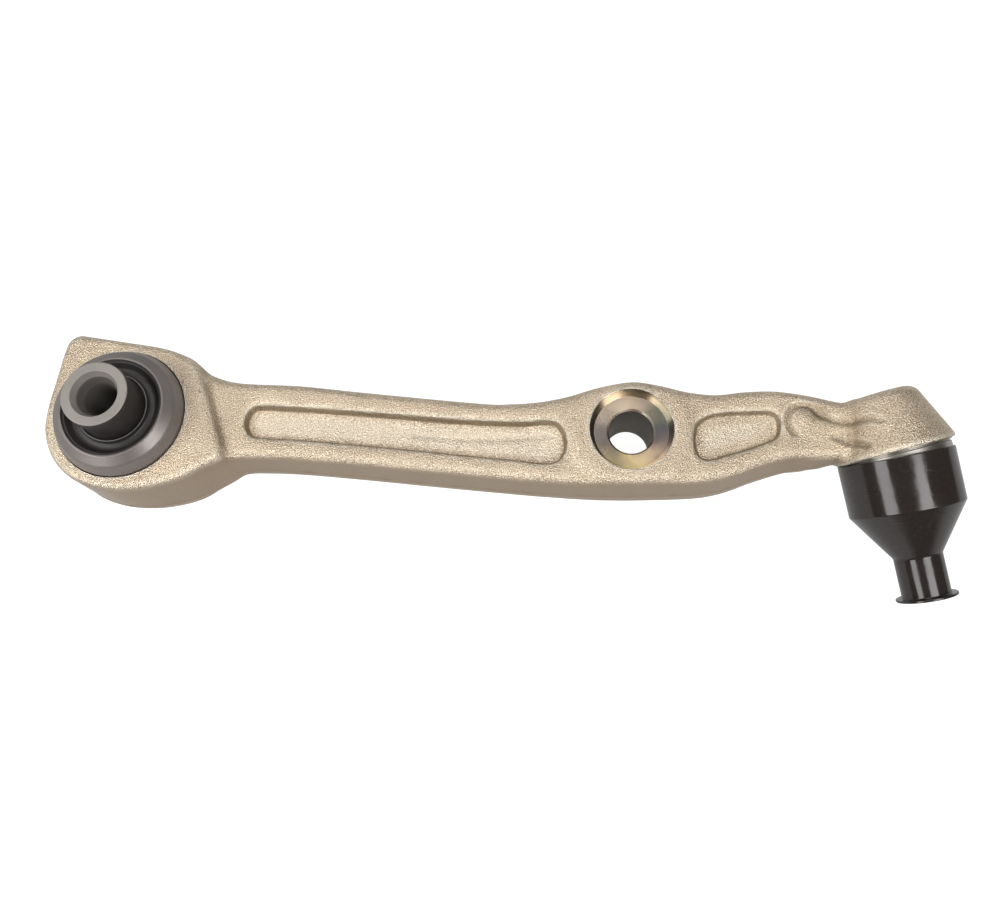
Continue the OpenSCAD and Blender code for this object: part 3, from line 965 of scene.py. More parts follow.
@dataclass(frozen=True)
class Pocket:
    """A pressed pocket: a soft shoulder outside its edge, a steep wall, then a dished floor that falls
    from the pocket's upper side to its lower side, fastest at first.

    Attributes:
        outline: plan points of its edge.
        middle: the X at which the next two are given.
        upper: Y of its upper side there, and that side's slope.
        breadth: distance from there to the lower side, and its change along X.
        wall: the steep wall's height.
        fall: how much deeper the floor gets.
        width: the wall's width in plan on the lower side.
        soft: how many times wider the wall is on the upper side.
        firming: how fast it gets narrower across the pocket.
        floor_ease: how many wall widths the floor's fall takes to begin.
        shoulder: reach and depth of the shoulder.
    """

    outline: tuple
    middle: float
    upper: tuple[float, float]
    breadth: tuple[float, float]
    wall: float
    fall: float
    width: float
    soft: float = 1.7
    firming: float = 2.2
    floor_ease: float = 1.5
    shoulder: tuple[float, float] = (2.4, 0.45)

    def depth(self, edge: Array, x: Array, y: Array) -> Array:
        """Depth at plan points.

        Args:
            edge: plan distance to the pocket's edge, negative inside.
            x, y: the points' places.
        Returns:
            The depth at each point.
        """
        along = x - self.middle
        across = (self.upper[0] + self.upper[1] * along - y) / (self.breadth[0] + self.breadth[1] * along)
        reach, deep = self.shoulder
        floor = 1 - (1 - np.clip(across, 0, 1)) ** 2
        width = self.width * (self.soft - (self.soft - 1) * smoothstep(self.firming * across))
        shoulder = deep * np.clip(1 - edge / reach, 0, 1) ** 2
        wall = self.wall * smoothstep(-edge / width)
        return shoulder + wall + self.fall * floor * smoothstep(-edge / (self.floor_ease * width))


@dataclass(frozen=True)
class Groove:
    """A line pressed into the front face.

    Attributes:
        points: plan points that it runs through.
        depth: how deep it is along its middle.
        half: its half width.
    """

    points: tuple
    depth: float
    half: float

    def sunk(self, away: Array) -> Array:
        """Depth at plan points, given their distance to the line."""
        return self.depth * smoothstep((self.half - away) / self.half)


@dataclass(frozen=True)
class Spot:
    """A round dip in the front face, or a bump where its depth is negative.

    Attributes:
        at: its middle, in plan.
        depth: how deep it is there.
        radius: where it has fallen to about a third.
    """

    at: tuple[float, float]
    depth: float
    radius: float

    def sunk(self, x: Array, y: Array) -> Array:
        """Depth at plan points: a bell curve of the distance."""
        return self.depth * np.exp(-((x - self.at[0]) ** 2 + (y - self.at[1]) ** 2) / self.radius**2)


@dataclass
class Forging:
    """The forged arm, as one distance field: a plan outline with rounded rims, faces pressed to their
    own heights, the eye's pad, the strut's boss and the ball joint's housing.

    Attributes:
        cell: size of the contouring cubes.
        eye_half, beam_front, beam_back: heights of the eye's faces and of the beam's.
        rim_round, eye_round: radii of the rounded rims.
        draft, parting, eye_draft, eye_parting: lean of the side walls above and below the parting
            line, and that line's height, on the beam and on the eye.
        flash: height of the trimmed flash, its half breadth and the length it fades over.
        eye_bore, strut_bore, cavity: radii of the bored rooms for bushing, strut seat and ball.
        strut_front, strut_back: heights of the faces round the strut hole.
        front_pad, back_boss: radius of each face round the strut hole, and the length it eases over.
        back_steps: rises of the back face, each with its start along X and its length.
        eye_step: point and direction of the line where the eye's front eases down to the beam's.
        eye_ease: how far before that line it starts, over what length, and how far below the beam.
        eye_back_ease: start along X and length of the eye's back rising to the beam's.
        rim_height, rim_radius, rim_land, rim_chamfer: the housing's machined rim.
        end_height, end_radius, end_round, top_height: the housing's closed end, below the ball.
        eye_fillet, housing_fillet: how wide the fillets to the beam are.
        clear: radius round the housing's axis in which the beam is cut back, and how far below the rim.
        machined: radius in which the machined rim is faced off.
        marks_fade: height over which the marks of the die fade in.
        edge_reach, wall_reach: how far off the field is read to find its edges and its walls.
    """

    cell: float = 1.0
    eye_half: float = 20.0
    beam_front: float = 16.0
    beam_back: float = -10.0
    rim_round: float = 4.2
    eye_round: float = 3.2
    draft: tuple[float, float] = (0.05, 0.05)
    parting: float = -2.0
    eye_parting: float = -10.0
    eye_draft: tuple[float, float] = (0.01, 0.2)
    eye_bore: float = 28.7
    flash: tuple[float, float, float] = (0.25, 1.8, 0.8)
    strut_bore: float = 17.9
    strut_front: float = 17.0
    strut_back: float = -17.4
    front_pad: tuple[float, float] = (30, 8)
    back_boss: tuple[float, float] = (24, 3)
    back_steps: tuple = ((-2.8, 175, 50), (13.5, 274, 32))
    eye_step: tuple = ((38.9, 6.1), (0.923, 0.384))
    eye_ease: tuple[float, float, float] = (4.5, 12, 0.6)
    eye_back_ease: tuple[float, float] = (22, 28)
    rim_height: float = 6.2
    rim_radius: float = 23.8
    rim_land: float = 1.6
    rim_chamfer: float = 0.8
    end_height: float = -15.5
    end_radius: float = 15.9
    end_round: float = 3.6
    top_height: float = -19.2
    cavity: float = 15.35
    eye_fillet: float = 3.0
    housing_fillet: float = 3.5
    clear: tuple[float, float] = (34, 1.5)
    machined: float = 30
    marks_fade: float = 6
    edge_reach: float = 1.4
    wall_reach: float = 0.3
    top_edge: tuple = (
        (24, 26), (34, 21.8), (48, 18.1), (76, 17.4), (104, 15.2), (155, 11.6), (168, 11.7), (180, 12.9),
        (192, 15.6), (206, 20.1), (220, 23), (232, 21.7), (244, 19.3), (256, 18.4), (268, 20.1), (281, 20.7),
        (295, 19), (308, 16.4), (318, 16.6), (326, 17),
    )
    bottom_edge: tuple = (
        (324, -4), (315, -7), (305, -9), (296, -9.4), (288, -9.4), (280, -11.2), (272, -14), (265, -17),
        (258, -19.4), (249, -21.2),
        (232, -22.5), (207, -23.6), (184, -23.3), (165, -22.3), (136, -20.5), (105, -18.4), (78, -16.9),
        (62, -16.7), (50, -17.6), (38, -22.6), (24, -28),
    )
    eye_outline: tuple = (
        (-33.5, 0), (-32.3, 14), (-30.8, 28), (-29.4, 33.6), (-25.5, 36.75), (-20, 36.5), (-4, 34.4),
        (12, 32.2), (22, 29.4), (30.5, 25), (36, 15.5), (40.5, 5), (44, -4), (47.2, -13), (46.5, -18.6),
        (38.5, -23.4), (30, -28.2), (18, -32.1), (6, -33.9), (-6, -32.9), (-17.6, -28.8), (-26.8, -20.8),
        (-32.2, -10.6),
    )
    pockets: tuple[Pocket, ...] = (
        Pocket(
            outline=(
                (53.6, 1.6), (55.4, 6), (60, 7.8), (76, 7.5), (100, 6.5), (124, 5.2), (150, 3.8), (172, 3.7),
                (184, 4.8), (189.6, 3.4), (192.6, -2), (193, -8), (190.5, -13.6), (184, -15.6), (170, -14.6),
                (144, -12.8), (122, -11.2), (100, -9.8), (79, -8.6), (62, -8.2), (56.5, -7), (53.8, -3),
            ),
            middle=122, upper=(5.8, -0.032), breadth=(17, 0), wall=2.9, fall=0.9, width=1.5,
        ),
        Pocket(
            outline=(
                (245.6, 1), (247.2, 5.4), (251.4, 8.8), (258, 10.6), (267.2, 11.3), (276, 11.8), (280.4, 10.6),
                (282.2, 7), (282.0, 1.8), (280, -1.8), (275, -4.2), (268, -7), (260, -9.6), (253.6, -11.8),
                (249, -11.4), (246.4, -8.4), (245.4, -4),
            ),
            middle=263, upper=(12.2, 0.06), breadth=(18.44, -0.12), wall=2.2, fall=0.8, width=1.6,
        ),
    )
    valley: Groove = Groove(
        (
            (287.6, 1.2), (285.6, 4.2), (285, 8), (286.6, 11.8), (290.3, 13.8), (294.9, 13.0), (298, 10.4),
            (301.5, 8.4), (306.8, 6.6), (311.7, 5.9), (316.3, 5.6), (318.6, 4.2),
        ),
        depth=1.0, half=2.5,
    )
    low_groove: Groove = Groove(
        ((303.6, 0.2), (306.6, -1.2), (310.2, -3.0), (314.2, -5.4)), depth=0.9, half=2.3
    )
    faint_ridge: Groove = Groove(
        ((128, -3.6), (147.8, -4.6), (167.4, -4.1), (186, -2.2)), depth=0.4, half=1.8
    )
    dent: Spot = Spot((186.5, 3.6), depth=0.6, radius=2.2)
    saddle: Spot = Spot((298.4, 11.4), depth=1.4, radius=3.4)
    notch: Spot = Spot((308.0, 1.2), depth=0.5, radius=2.2)
    bump: Spot = Spot((291.9, 7.6), depth=-0.9, radius=3.4)
    cheek: Spot = Spot((316.6, 3.0), depth=-0.9, radius=4.5)

    def __post_init__(self) -> None:
        """Works out the plan fields once."""
        self.low = np.array([-37.0, -41.0, -23.0])
        self.high = np.array([356.0, 41.0, 36.0])
        beam = np.vstack([smooth_curve(self.top_edge, 5, False), smooth_curve(self.bottom_edge, 5, False)])
        self.beam_plan = PlanField(beam, self.low, self.high)
        self.eye_plan = self.plan(self.eye_outline)
        self.pocket_plans = [self.plan(pocket.outline) for pocket in self.pockets]
        self.grooves = (self.valley, self.low_groove, self.faint_ridge)
        self.groove_plans = [self.plan(groove.points, False) for groove in self.grooves]
        self.spots = (self.dent, self.saddle, self.notch, self.bump, self.cheek)

    def plan(self, points: tuple, closed: bool = True) -> PlanField:
        """The distance field of a curve through given points."""
        return PlanField(smooth_curve(points, 6, closed), self.low, self.high, closed)

    def pressed(self, x: Array, y: Array) -> Array:
        """Depth of the two pockets at each point of the plan."""
        return sum(pocket.depth(plan(x, y), x, y) for pocket, plan in zip(self.pockets, self.pocket_plans))

    def marks(self, x: Array, y: Array) -> Array:
        """How far the die's own marks sink the front: the valley round the bump, the groove under it,
        a faint ridge and a dent in the long pocket; the bump and the cheek beside the housing rise."""
        lines = sum(groove.sunk(plan(x, y)) for groove, plan in zip(self.grooves, self.groove_plans))
        return sum((spot.sunk(x, y) for spot in self.spots), lines)

    @staticmethod
    def disc(x: Array, y: Array, size: tuple[float, float]) -> Array:
        """1 round the strut hole, easing to 0 at size's radius over size's length."""
        return smoothstep((size[0] - np.hypot(x - STRUT[0], y - STRUT[1])) / size[1])

    def front(self, x: Array, y: Array) -> Array:
        """Height of the front face: level, a little proud round the strut hole, and pressed in at the
        two pockets."""
        rise = (self.strut_front - self.beam_front) * self.disc(x, y, self.front_pad)
        return self.beam_front + rise - self.pressed(x, y)

    def back(self, x: Array, y: Array) -> Array:
        """Height of the back face: level, lower round the strut, and climbing towards the ball joint,
        with the same two pockets and a boss round the strut hole."""
        steps = (rise * smoothstep((x - start) / length) for rise, start, length in self.back_steps)
        level = sum(steps, self.beam_back)
        return level + (self.strut_back - level) * self.disc(x, y, self.back_boss) + self.pressed(x, y)

    def eye_front(self, x: Array, y: Array) -> Array:
        """Height of the eye's front face: level, then eased down to the beam's across a slanted line."""
        at, way = self.eye_step
        past = way[0] * (x - at[0]) + way[1] * (y - at[1])
        lead, length, below = self.eye_ease
        return self.eye_half - (self.eye_half - self.beam_front + below) * smoothstep((past + lead) / length)

    def eye_back(self, x: Array) -> Array:
        """Height of the eye's back face: level round the bore, and rising to the beam's back."""
        start, length = self.eye_back_ease
        return -self.eye_half + (self.beam_back + self.eye_half) * smoothstep((x - start) / length)

    def housing(self, h: Array, r: Array) -> Array:
        """The housing: a blunt cone, wide at its machined rim, as a field of height and radius."""
        run = np.array([self.rim_radius - self.end_radius, self.rim_height - self.rim_land - self.end_height])
        run = run / np.linalg.norm(run)
        cone = (r - self.end_radius) * run[1] - (h - self.end_height) * run[0]
        cone = np.maximum(cone, r - self.rim_radius)
        blunt = round_meet(cone, self.top_height - h, self.end_round)
        return round_meet(blunt, h - self.rim_height, self.rim_chamfer)

    def housing_gap(self, at: Array) -> Array:
        """How close points are to the housing: positive on it, negative away from it."""
        h, r = HOUSING_AXIS.along(at)
        return -self.housing(h, r) - 2

    def walled(self, plan: Array, z: Array, parting: float, draft: tuple[float, float]) -> Array:
        """The side wall's field: the outline with draft to both sides of the parting line, and the
        narrow trimmed flash on it.

        Args:
            plan: plan distance to the outline.
            z: height.
            parting: height of the parting line.
            draft: the wall's lean above and below the parting line.
        Returns:
            The wall's distance.
        """
        away = z - parting
        lean = draft[0] * (np.maximum(away, 0) + parting - self.beam_front) + draft[1] * np.maximum(-away, 0)
        height, half, fade = self.flash
        return plan + lean - height * smoothstep((half - np.abs(away)) / fade)

    def solid(self, at: Array) -> Array:
        """Distance to the forging for points one a row, negative inside."""
        x, y, z = at.T
        beam_wall = self.walled(self.beam_plan(x, y), z, self.parting, self.draft)
        beam = round_meet(beam_wall, np.maximum(z - self.front(x, y), self.back(x, y) - z), self.rim_round)
        eye_wall = self.walled(self.eye_plan(x, y), z, self.eye_parting, self.eye_draft)
        eye = round_meet(eye_wall, np.maximum(z - self.eye_front(x, y), self.eye_back(x) - z), self.eye_round)
        whole = soft_union(beam, eye, self.eye_fillet)
        h, r = HOUSING_AXIS.along(at)
        radius, below = self.clear
        whole = np.maximum(whole, np.minimum(radius - r, h - self.rim_height + below))
        whole = soft_union(whole, self.housing(h, r), self.housing_fillet)
        whole = whole + self.marks(x, y) * smoothstep(z / self.marks_fade)
        whole = np.maximum(whole, np.minimum(self.machined - r, h - self.rim_height))
        ball_room = np.where(h > 0, r, np.hypot(h, r)) - self.cavity
        strut_room = np.hypot(x - STRUT[0], y - STRUT[1]) - self.strut_bore
        bores = np.minimum(np.hypot(x, y) - self.eye_bore, strut_room)
        return np.maximum(whole, -np.minimum(bores, ball_room))

    def build(self) -> bpy.types.Object:
        """Contours the field, marks side walls, rubbed edges and recesses, and dresses the mesh; the finish
        paints shade on the side walls and in the recesses, and a highlight on the pocket floors.

        An edge is where the field's mean a little way off, less its value, is above nothing; the pocket
        floors join it as a painted highlight. A wall is a side where its slope lies flat, and painted
        shade goes where it is also well inside the outline, and along the die's marks.
        """
        skin = contour(self.solid, self.low, self.high, self.cell)
        way = slope(self.solid, skin.points, self.wall_reach)
        reach = self.edge_reach
        steps = np.vstack([np.eye(3), -np.eye(3)]) * reach
        bend = sum(self.solid(skin.points + s) for s in steps) / 6 - self.solid(skin.points)
        x, y, z = skin.points.T
        steep = smoothstep((0.86 - np.abs(way[:, 2])) / 0.3)
        inner = smoothstep((-np.maximum(self.beam_plan(x, y), self.housing_gap(skin.points)) - 4) / 3)
        long, short = (plan(x, y) for plan in self.pocket_plans)
        # painted highlight on the pockets' floors, joined to the edge mask
        painted_floor_highlight = 0.75 * smoothstep(-(np.minimum(long, short + 2) + 2) / 3) * (z > 0)
        limit = 0.72 - 0.14 * smoothstep((x - 290) / 14)
        skin.masks = {
            # side walls, where the finish paints shade
            "side": smoothstep((limit - np.abs(way[:, 2])) / 0.4) * (1 - inner),
            "edge": np.maximum(smoothstep((bend - 0.03) / 0.16), painted_floor_highlight),
            # painted shade in the pockets' steep walls and along the die's marks
            "painted_shade": np.maximum(steep * inner, 0.8 * np.clip(self.marks(x, y), 0, 1) * (z > 0)),
        }
        return place_piece(skin.make("arm_forging_skin", [ZINC], crease=38), "arm", "forging", "arm_forging")


@dataclass
class MachinedFaces:
    """The machined parts of the forging: the strut's seat and hole, and the collar under the housing's
    rim that carries the dust boot."""

    outer: float = 17.95
    mouth: float = 17.7
    floor_radius: float = 15.9
    floor: float = 12.5
    front: float = 17.06
    back: float = -17.45
    hole: float = 9.5
    chamfer: float = 0.8

    def build_strut_seat(self) -> bpy.types.Object:
        """A turned sleeve that lines the strut hole: counterbore, floor, chamfered bore, back face."""
        corners = [
            (self.outer, self.back, 0.1), (self.outer, self.front, 0.08), (self.mouth, self.front, 0.12),
            (self.floor_radius, self.floor, 0.25), (self.hole + self.chamfer, self.floor, 0.1),
            (self.hole, self.floor - self.chamfer, 0.1), (self.hole, self.back + self.chamfer, 0.1),
            (self.hole + self.chamfer, self.back, 0.1),
        ]
        skin = turned(corners, Axis((*STRUT, 0.0), (0.0, 0.0, 1.0)), sides=192)
        centre = skin.points[skin.quads].mean(axis=1)
        radius = np.hypot(centre[:, 0] - STRUT[0], centre[:, 1] - STRUT[1])
        inside = (radius < self.hole + 0.4) & (centre[:, 2] < self.floor - 0.5)
        cone = (radius > self.floor_radius + 0.05) & (centre[:, 2] > self.floor)
        # the bore's wall gets the dark copy of the zinc: painted shade
        skin.slots = np.where(inside, 2, np.where(cone, 1, 0))
        return place_piece(skin.make("strut_seat", [STRUT_FACE, STRUT_CONE, STRUT_BORE_SHADE]), "arm", "forging")

    def build_collar(self) -> bpy.types.Object:
        """The bright collar: a groove under the rim, the collar's face and the boot's seat."""
        corners = [
            (16.4, 4.9, 0.05), (22.5, 4.9, 0.1), (22.5, 6.6, 0.15), (21.3, 6.8, 0.1), (21.3, 7.2, 0.1),
            (21.9, 7.4, 0.15), (21.9, 10.2, 0.2), (20.45, 10.2, 0.2), (20.45, 8.9, 0.2),
            (17.6, 8.9, 0.3), (17.6, 12.0, 0.25), (16.4, 12.0, 0.2),
        ]
        skin = turned(corners, HOUSING_AXIS, sides=160)
        return place_piece(skin.make("housing_collar", [COLLAR_STEEL]), "arm", "forging")


@dataclass
class Bushing:
    """The rubber bushing: shell with its stop cone, rubber and inner sleeve."""

    face: float = 20.0
    shell: float = 28.2
    shell_in: float = 25.7
    rim: float = 21.5
    cone: float = 9.2
    sleeve: float = 13.9
    bore: float = 7.25
    mouth: float = 10.0
    mouth_depth: float = 7.5
    front: float = 44.5
    back: float = -30.5

    def build_shell(self) -> bpy.types.Object:
        """The pressed steel shell: a straight tube with a lip, a two-step cone and a thin rim."""
        top = self.face + self.cone
        corners = [
            (self.shell_in, -self.face, 0.3), (self.shell, -self.face, 0.5),
            (self.shell, self.face + 1.6, 1.0), (26.2, self.face + 6.2, 3.0), (self.rim + 0.9, top, 0.5),
            (self.rim, top, 0.35),
            (self.rim, top - 2.2, 0.8), (self.shell_in, self.face - 1.2, 1.5),
        ]
        skin = turned(corners, BUSH_AXIS, sides=192, arc=7)
        piece = skin.make("bushing_shell", [SHELL_STEEL])
        return place_piece(piece, "arm", "shell_steel", "bushing_outer_shell")

    def build_rubber(self) -> bpy.types.Object:
        """The rubber: dished between the rim and a raised lip, then a collar that climbs the sleeve."""
        inner, top = self.sleeve + 0.05, self.face + self.cone
        corners = [
            (inner, -self.face - 2, 0.3), (inner + 1.2, -self.face - 2, 0.5),
            (inner + 3, -self.face + 5, 2.0), (self.shell_in - 2.4, -self.face + 5, 2.0),
            (self.shell_in, -self.face + 1, 0.3),
            (self.shell_in, self.face - 1.2, 1.0), (self.rim, top - 2.0, 0.6), (self.rim, top - 1.0, 0.25),
            (self.rim - 1.1, top - 1.0, 0.6), (18.2, top - 4.2, 4.0), (15.6, top - 3.2, 1.2),
            (15.1, top - 1.45, 0.1), (14.75, top - 1.45, 0.1), (inner + 0.35, top - 2.4, 0.5),
            (inner, top - 2.4, 0.2),
        ]
        skin = turned(corners, BUSH_AXIS, sides=192, arc=6)
        centre = skin.points[skin.quads].mean(axis=1)
        radius = np.hypot(centre[:, 0], centre[:, 1])
        # the thin ring beside the sleeve gets the pale rubber: a painted highlight
        skin.slots = ((np.abs(radius - 14.93) < 0.2) & (centre[:, 2] > top - 1.7)).astype(int)
        piece = skin.make("bushing_rubber_body", [BUSH_RUBBER, RUBBER_RING_HIGHLIGHT])
        return place_piece(piece, "arm", "bushing_rubber", "bushing_rubber")

    def build_sleeve(self) -> bpy.types.Object:
        """The inner sleeve: turned ends and bore, and a side under a thin skin of rubber."""
        corners = [
            (self.mouth, self.back, 0.3), (self.sleeve, self.back, 0.5), (self.sleeve, self.front, 0.5),
            (self.mouth, self.front, 0.3), (self.bore + 1.1, self.front - 3.4, 6.0),
            (self.bore, self.front - self.mouth_depth, 3.0),
            (self.bore, self.back + self.mouth_depth, 0.6),
        ]
        skin = turned(corners, BUSH_AXIS, sides=144)
        centre = skin.points[skin.quads].mean(axis=1)
        radius = np.hypot(centre[:, 0], centre[:, 1])
        between = (centre[:, 2] > self.back + 0.3) & (centre[:, 2] < self.front - 0.3)
        side = (radius > self.sleeve - 0.12) & between
        bored = radius < self.bore + 1.3
        # the bore gets the darker copy of the sleeve steel: painted shade
        skin.slots = np.where(side, 1, np.where(bored, 2, 0))
        piece = skin.make("bushing_sleeve", [SLEEVE_STEEL, BUSH_RUBBER, SLEEVE_BORE_SHADE])
        return place_piece(piece, "sleeve", "sleeve_steel", "bushing_inner_sleeve")


@dataclass
class BallJoint:
    """What works inside the housing: the seat, its ring and the ball stud."""

    ball: float = 13.0
    seat: float = 15.3

    def build_seat(self) -> bpy.types.Object:
        """The plastic shell round the ball, open towards the stud."""
        spread = np.linspace(0, 1, 15)
        outer = [(self.seat * math.sin(a), -self.seat * math.cos(a), 0.0) for a in spread * math.pi / 2]
        inner = self.ball + 0.05
        end = math.acos(-6.0 / inner)
        inside = [(inner * math.sin(a), -inner * math.cos(a), 0.0) for a in (1 - spread) * end]
        corners = [*outer, (self.seat, 6.0, 0.2), *inside]
        skin = turned(corners, HOUSING_AXIS, closed=False, sides=96, arc=3)
        return place_piece(skin.make("ball_seat_shell", [SEAT_PLASTIC]), "arm", "seat_plastic", "ball_seat")

    def build_ring(self) -> bpy.types.Object:
        """The steel ring that closes the housing."""
        corners = [(12.6, 6.0, 0.2), (16.4, 6.0, 0.2), (16.4, 8.5, 0.3), (12.6, 8.5, 0.4)]
        skin = turned(corners, HOUSING_AXIS, sides=96)
        piece = skin.make("housing_closing_ring", [BRIGHT_STEEL])
        return place_piece(piece, "arm", "bright_steel", "housing_ring")

    def build_stud(self) -> bpy.types.Object:
        """The stud: ball, neck, seat of the neck ring, taper, the thread as a row of ridges, and a round
        hole for the key."""
        spread = np.linspace(0, 1, 22)
        end = math.pi - math.asin(8.1 / self.ball)
        ball = [(self.ball * math.sin(a), -self.ball * math.cos(a), 0.0) for a in spread * end]
        pitch, crest, root = 1.5, 6.95, 6.1
        turns = np.arange(49.8, 63.6, pitch)
        thread = [c for t in turns for c in ((crest, t, 0.1), (root, t + pitch / 2, 0.1))]
        corners = [
            *ball, (7.5, 13.0, 3.0), (7.5, 20.5, 1.0), (8.0, 23.4, 0.3), (8.0, 28.8, 0.2), (9.75, 28.8, 0.4),
            (9.75, 30.0, 0.3), (8.7, 47.0, 0.4), (6.2, 47.0, 0.3), (6.2, 48.6, 0.3), *thread,
            (6.3, 65.0, 0.3), (3.5, 65.0, 0.2), (3.46, 57.0, 0.2), (0.0, 56.0, 0.0),
        ]
        skin = turned(corners, STUD_AXIS, closed=False, sides=96, arc=4)
        return place_piece(skin.make("ball_stud_body", [BRIGHT_STEEL]), "stud", "bright_steel", "ball_stud")


@dataclass
class Boot:
    """The dust boot with its two wire clips and its neck ring."""

    wire: float = 0.7

    def build_boot(self) -> bpy.types.Object:
        """The boot: a bead on the housing's seat, one soft bulge and a neck on the ring. It is turned
        about the stud's axis, then its low end is moved onto the housing's."""
        corners = [
            (17.65, 9.05, 0.2), (19.0, 9.05, 0.2), (19.0, 9.6, 0.4), (18.5, 10.2, 0.4), (18.9, 11.6, 0.5),
            (19.3, 13.2, 2.5), (19.2, 16.6, 4.0), (16.2, 21.0, 4.0), (12.0, 23.2, 1.5), (12.0, 25.2, 0.4),
            (11.4, 26.0, 0.4), (12.0, 26.9, 0.4), (12.0, 28.6, 0.5), (9.25, 28.6, 0.3), (9.25, 23.8, 1.0),
            (12.6, 21.6, 2.5), (16.4, 18.4, 3.0), (17.7, 15.0, 2.0), (17.6, 12.2, 0.5),
        ]
        skin = turned(corners, STUD_AXIS, sides=112)
        h, _ = STUD_AXIS.along(skin.points)
        shift = np.asarray(HOUSING_AXIS.way) - np.asarray(STUD_AXIS.way)
        lean_start, lean_length = 8.0, 10.0
        low = 1 - smoothstep((h - lean_start) / lean_length)
        skin.points = skin.points + shift * (h * low)[:, None]
        skin.normals = None
        piece = skin.make("dust_boot_rubber", [BOOT_RUBBER], crease=60)
        foot, neck = HOUSING_AXIS.at(10.0), STUD_AXIS.at(23.0)
        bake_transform(piece)
        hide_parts("dust_boot")
        LOG.info("%s: %d faces, from arm to boot", piece.name, len(piece.data.polygons))
        return piece

    def build_clips(self) -> list[bpy.types.Object]:
        """The two clips: a round wire carried round in the boot's grooves."""
        made = []
        for name, node, axis, body, radius, height in (
            ("boot_wire_large", "boot_clip_large", HOUSING_AXIS, "arm", 19.5, 10.3),
            ("boot_wire_small", "boot_clip_small", STUD_AXIS, "boot_neck", 12.2, 26.05),
        ):
            corners = [(radius + self.wire * math.cos(a), height + self.wire * math.sin(a), 0.0)
                       for a in np.arange(12) * TURN / 12]
            skin = turned(corners, axis, sides=120, arc=2)
            made.append(place_piece(skin.make(name, [WIRE_STEEL]), body, "clip_wire", node))
        return made

    def build_neck_ring(self) -> bpy.types.Object:
        """The ring inside the boot's neck."""
        corners = [(8.05, 23.5, 0.2), (9.2, 23.5, 0.2), (9.2, 28.6, 0.2), (8.05, 28.6, 0.2)]
        skin = turned(corners, STUD_AXIS, sides=80)
        return place_piece(skin.make("boot_neck_ring_body", [BRIGHT_STEEL]), "boot_neck", "bright_steel",
                           "boot_neck_ring")


@dataclass
class TransportCap:
    """The black cap over boot and stud: a wide cup, a cone, a neck and a thin gripping lip."""

    mouth: float = 8.0
    radius: float = 23.5
    shoulder: float = 30.4
    shoulder_radius: float = 23.3
    neck: float = 50.4
    neck_radius: float = 9.8
    end: float = 68.3
    lip: float = 12.4
    wall: float = 1.25

    def build(self) -> bpy.types.Object:
        """Turns the cap's wall about the stud's axis."""
        w = self.wall
        corners = [
            (0.0, self.end, 0.0), (self.lip, self.end, 0.4), (self.lip, self.end - 1.1, 0.35),
            (self.neck_radius, self.end - 1.1, 0.5), (self.neck_radius, self.neck, 2.2),
            (self.shoulder_radius, self.shoulder, 1.2), (self.radius, self.mouth, 0.35),
            (self.radius - w, self.mouth, 0.35), (self.shoulder_radius - w, self.shoulder - 0.4, 1.0),
            (self.neck_radius - w, self.neck - 0.4, 1.5), (self.neck_radius - w, self.end - w, 0.5),
            (0.0, self.end - w, 0.0),
        ]
        skin = turned(corners[::-1], STUD_AXIS, closed=False, sides=176, arc=7)
        piece = skin.make("transport_cap_shell", [CAP_PLASTIC])
        return place_piece(piece, "cap", "cap_plastic", "transport_cap")


# ---------------------------------------------------------------- studio


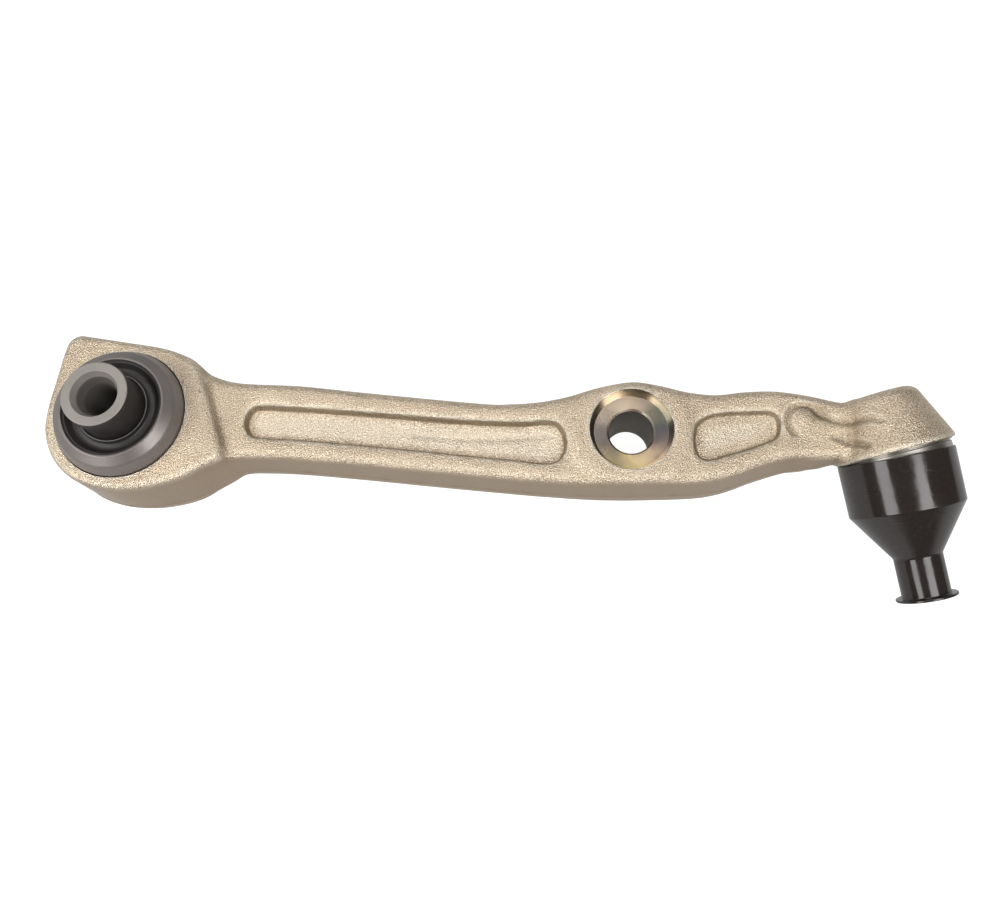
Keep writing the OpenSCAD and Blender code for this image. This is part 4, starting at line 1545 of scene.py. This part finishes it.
@dataclass
class Studio:
    """Floor, lights and camera, in metres and degrees.

    Attributes:
        eye, turn, lens, sensor: the camera's place, its rotation, its focal length and its width in mm.
        glow_centre, glow_half: middle and half sizes of the lit oval of the floor.
        glow_fade: where the oval starts and ends to fade, in its own half sizes.
        glow: the floor's own light, on the part and to the camera.
        lamps: name, place, target, size and power of each lamp.
        ambient: strength of the even light from all round.
    """

    eye: tuple[float, float, float] = (0.19095, -0.12807, 0.39761)
    turn: tuple[float, float, float] = (17.327, 3.042, 2.774)
    lens: float = 34.21
    sensor: float = 36.0
    glow_centre: tuple[float, float] = (0.17, 0.08)
    glow_half: tuple[float, float] = (0.5, 0.36)
    glow_fade: tuple[float, float] = (0.95, 1.5)
    glow: tuple[float, float] = (0.4, 0.93)
    lamps: tuple = (
        ("left panel", (-0.64, -0.42, 0.75), (0.3, 0.0, 0.0), (1.1, 0.5), 9.5),
        ("right panel", (0.78, -0.5, 0.9), (0.3, 0.0, 0.0), (0.6, 0.7), 8.5),
        ("beam card", (0.0, 0.33, 0.97), (0.12, 0.0, 0.0), (0.4, 0.35), 1.8),
        ("back lamp", (0.1, 0.8, 0.85), (0.17, 0.0, 0.0), (1.0, 0.4), 2.4),
    )
    ambient: float = 0.1

    def build_floor(self, under: float) -> None:
        """A plain white floor, a hair below the part.

        Args:
            under: height of the part's lowest point.
        """
        half, gap = 4.0, 0.0005
        mesh = bpy.data.meshes.new("floor")
        corners = [(x * half, y * half, under - gap) for x, y in ((-1, -1), (1, -1), (1, 1), (-1, 1))]
        mesh.from_pydata(corners, [], [(0, 1, 2, 3)])
        floor = bpy.data.objects.new("floor", mesh)
        bpy.context.scene.collection.objects.link(floor)
        paint = bpy.data.materials.new("Studio floor")
        paint.use_nodes = True
        shader = paint.node_tree.nodes["Principled BSDF"]
        shader.inputs["Base Color"].default_value = (0.3, 0.3, 0.3, 1)
        shader.inputs["Roughness"].default_value = 0.9
        g = Graph(paint.node_tree)
        away = g.node("VectorMath", operation="LENGTH")
        shifted = g.node("Mapping")
        g.feed(shifted, "Vector", g.node("TexCoord").outputs["Object"])
        wide, deep = self.glow_half
        g.feed(shifted, "Location", (-self.glow_centre[0] / wide, -self.glow_centre[1] / deep, 0.0))
        g.feed(shifted, "Scale", (1 / wide, 1 / deep, 0.0))
        g.feed(away, 0, shifted.outputs[0])
        faded = g.fit(away.outputs["Value"], *self.glow_fade, 0, 1)
        g.feed(shader, "Emission Color", g.mix(faded, (1, 1, 1, 1), (0, 0, 0, 1)))
        seen = g.node("LightPath").outputs["Is Camera Ray"]
        g.feed(shader, "Emission Strength", g.fit(seen, 0, 1, *self.glow))
        mesh.materials.append(paint)
        floor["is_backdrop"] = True

    @staticmethod
    def lamp(name: str, at: tuple, aim: tuple, size: tuple[float, float], power: float) -> None:
        """An area lamp that points at a place.

        Args:
            name: its name.
            at, aim: where it is and what it points at, in metres.
            size: width and height in metres.
            power: in watts.
        """
        data = bpy.data.lights.new(name, "AREA")
        data.shape, data.size, data.size_y, data.energy = "RECTANGLE", *size, power
        made = bpy.data.objects.new(name, data)
        made.location = at
        made.rotation_euler = (Vector(aim) - Vector(at)).to_track_quat("-Z", "Y").to_euler()
        bpy.context.scene.collection.objects.link(made)

    def build_lights(self) -> None:
        """Two large soft panels, one to each side of the camera, a card over the beam, a weak lamp
        behind, and a little even light."""
        for lamp in self.lamps:
            self.lamp(*lamp)
        world = bpy.data.worlds.new("Studio")
        world.use_nodes = True
        world.node_tree.nodes["Background"].inputs[0].default_value = (1, 1, 1, 1)
        world.node_tree.nodes["Background"].inputs[1].default_value = self.ambient
        bpy.context.scene.world = world
        bpy.context.scene.view_settings.view_transform = "Standard"

    def build_camera(self) -> None:
        """The camera, above the arm and a little towards -Y."""
        data = bpy.data.cameras.new("camera")
        data.lens, data.sensor_width = self.lens, self.sensor
        made = bpy.data.objects.new("camera", data)
        made.location = self.eye
        made.rotation_euler = [math.radians(a) for a in self.turn]
        bpy.context.scene.collection.objects.link(made)
        bpy.context.scene.camera = made


def main() -> None:
    """Builds every piece in order, then the studio."""
    logging.basicConfig(level=logging.INFO, format="%(name)s: %(message)s")
    low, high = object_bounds()
    studio = Studio()
    studio.build_camera()
    Forging(cell=1.0).build()
    machined = MachinedFaces()
    machined.build_strut_seat()
    machined.build_collar()
    bushing = Bushing()
    bushing.build_shell()
    bushing.build_rubber()
    bushing.build_sleeve()
    ball = BallJoint()
    ball.build_seat()
    ball.build_ring()
    ball.build_stud()
    boot = Boot()
    boot.build_boot()
    boot.build_clips()
    boot.build_neck_ring()
    TransportCap().build()
    studio.build_floor(low.z)
    studio.build_lights()
    bpy.context.view_layer.update()


if __name__ == "__main__":
    main()
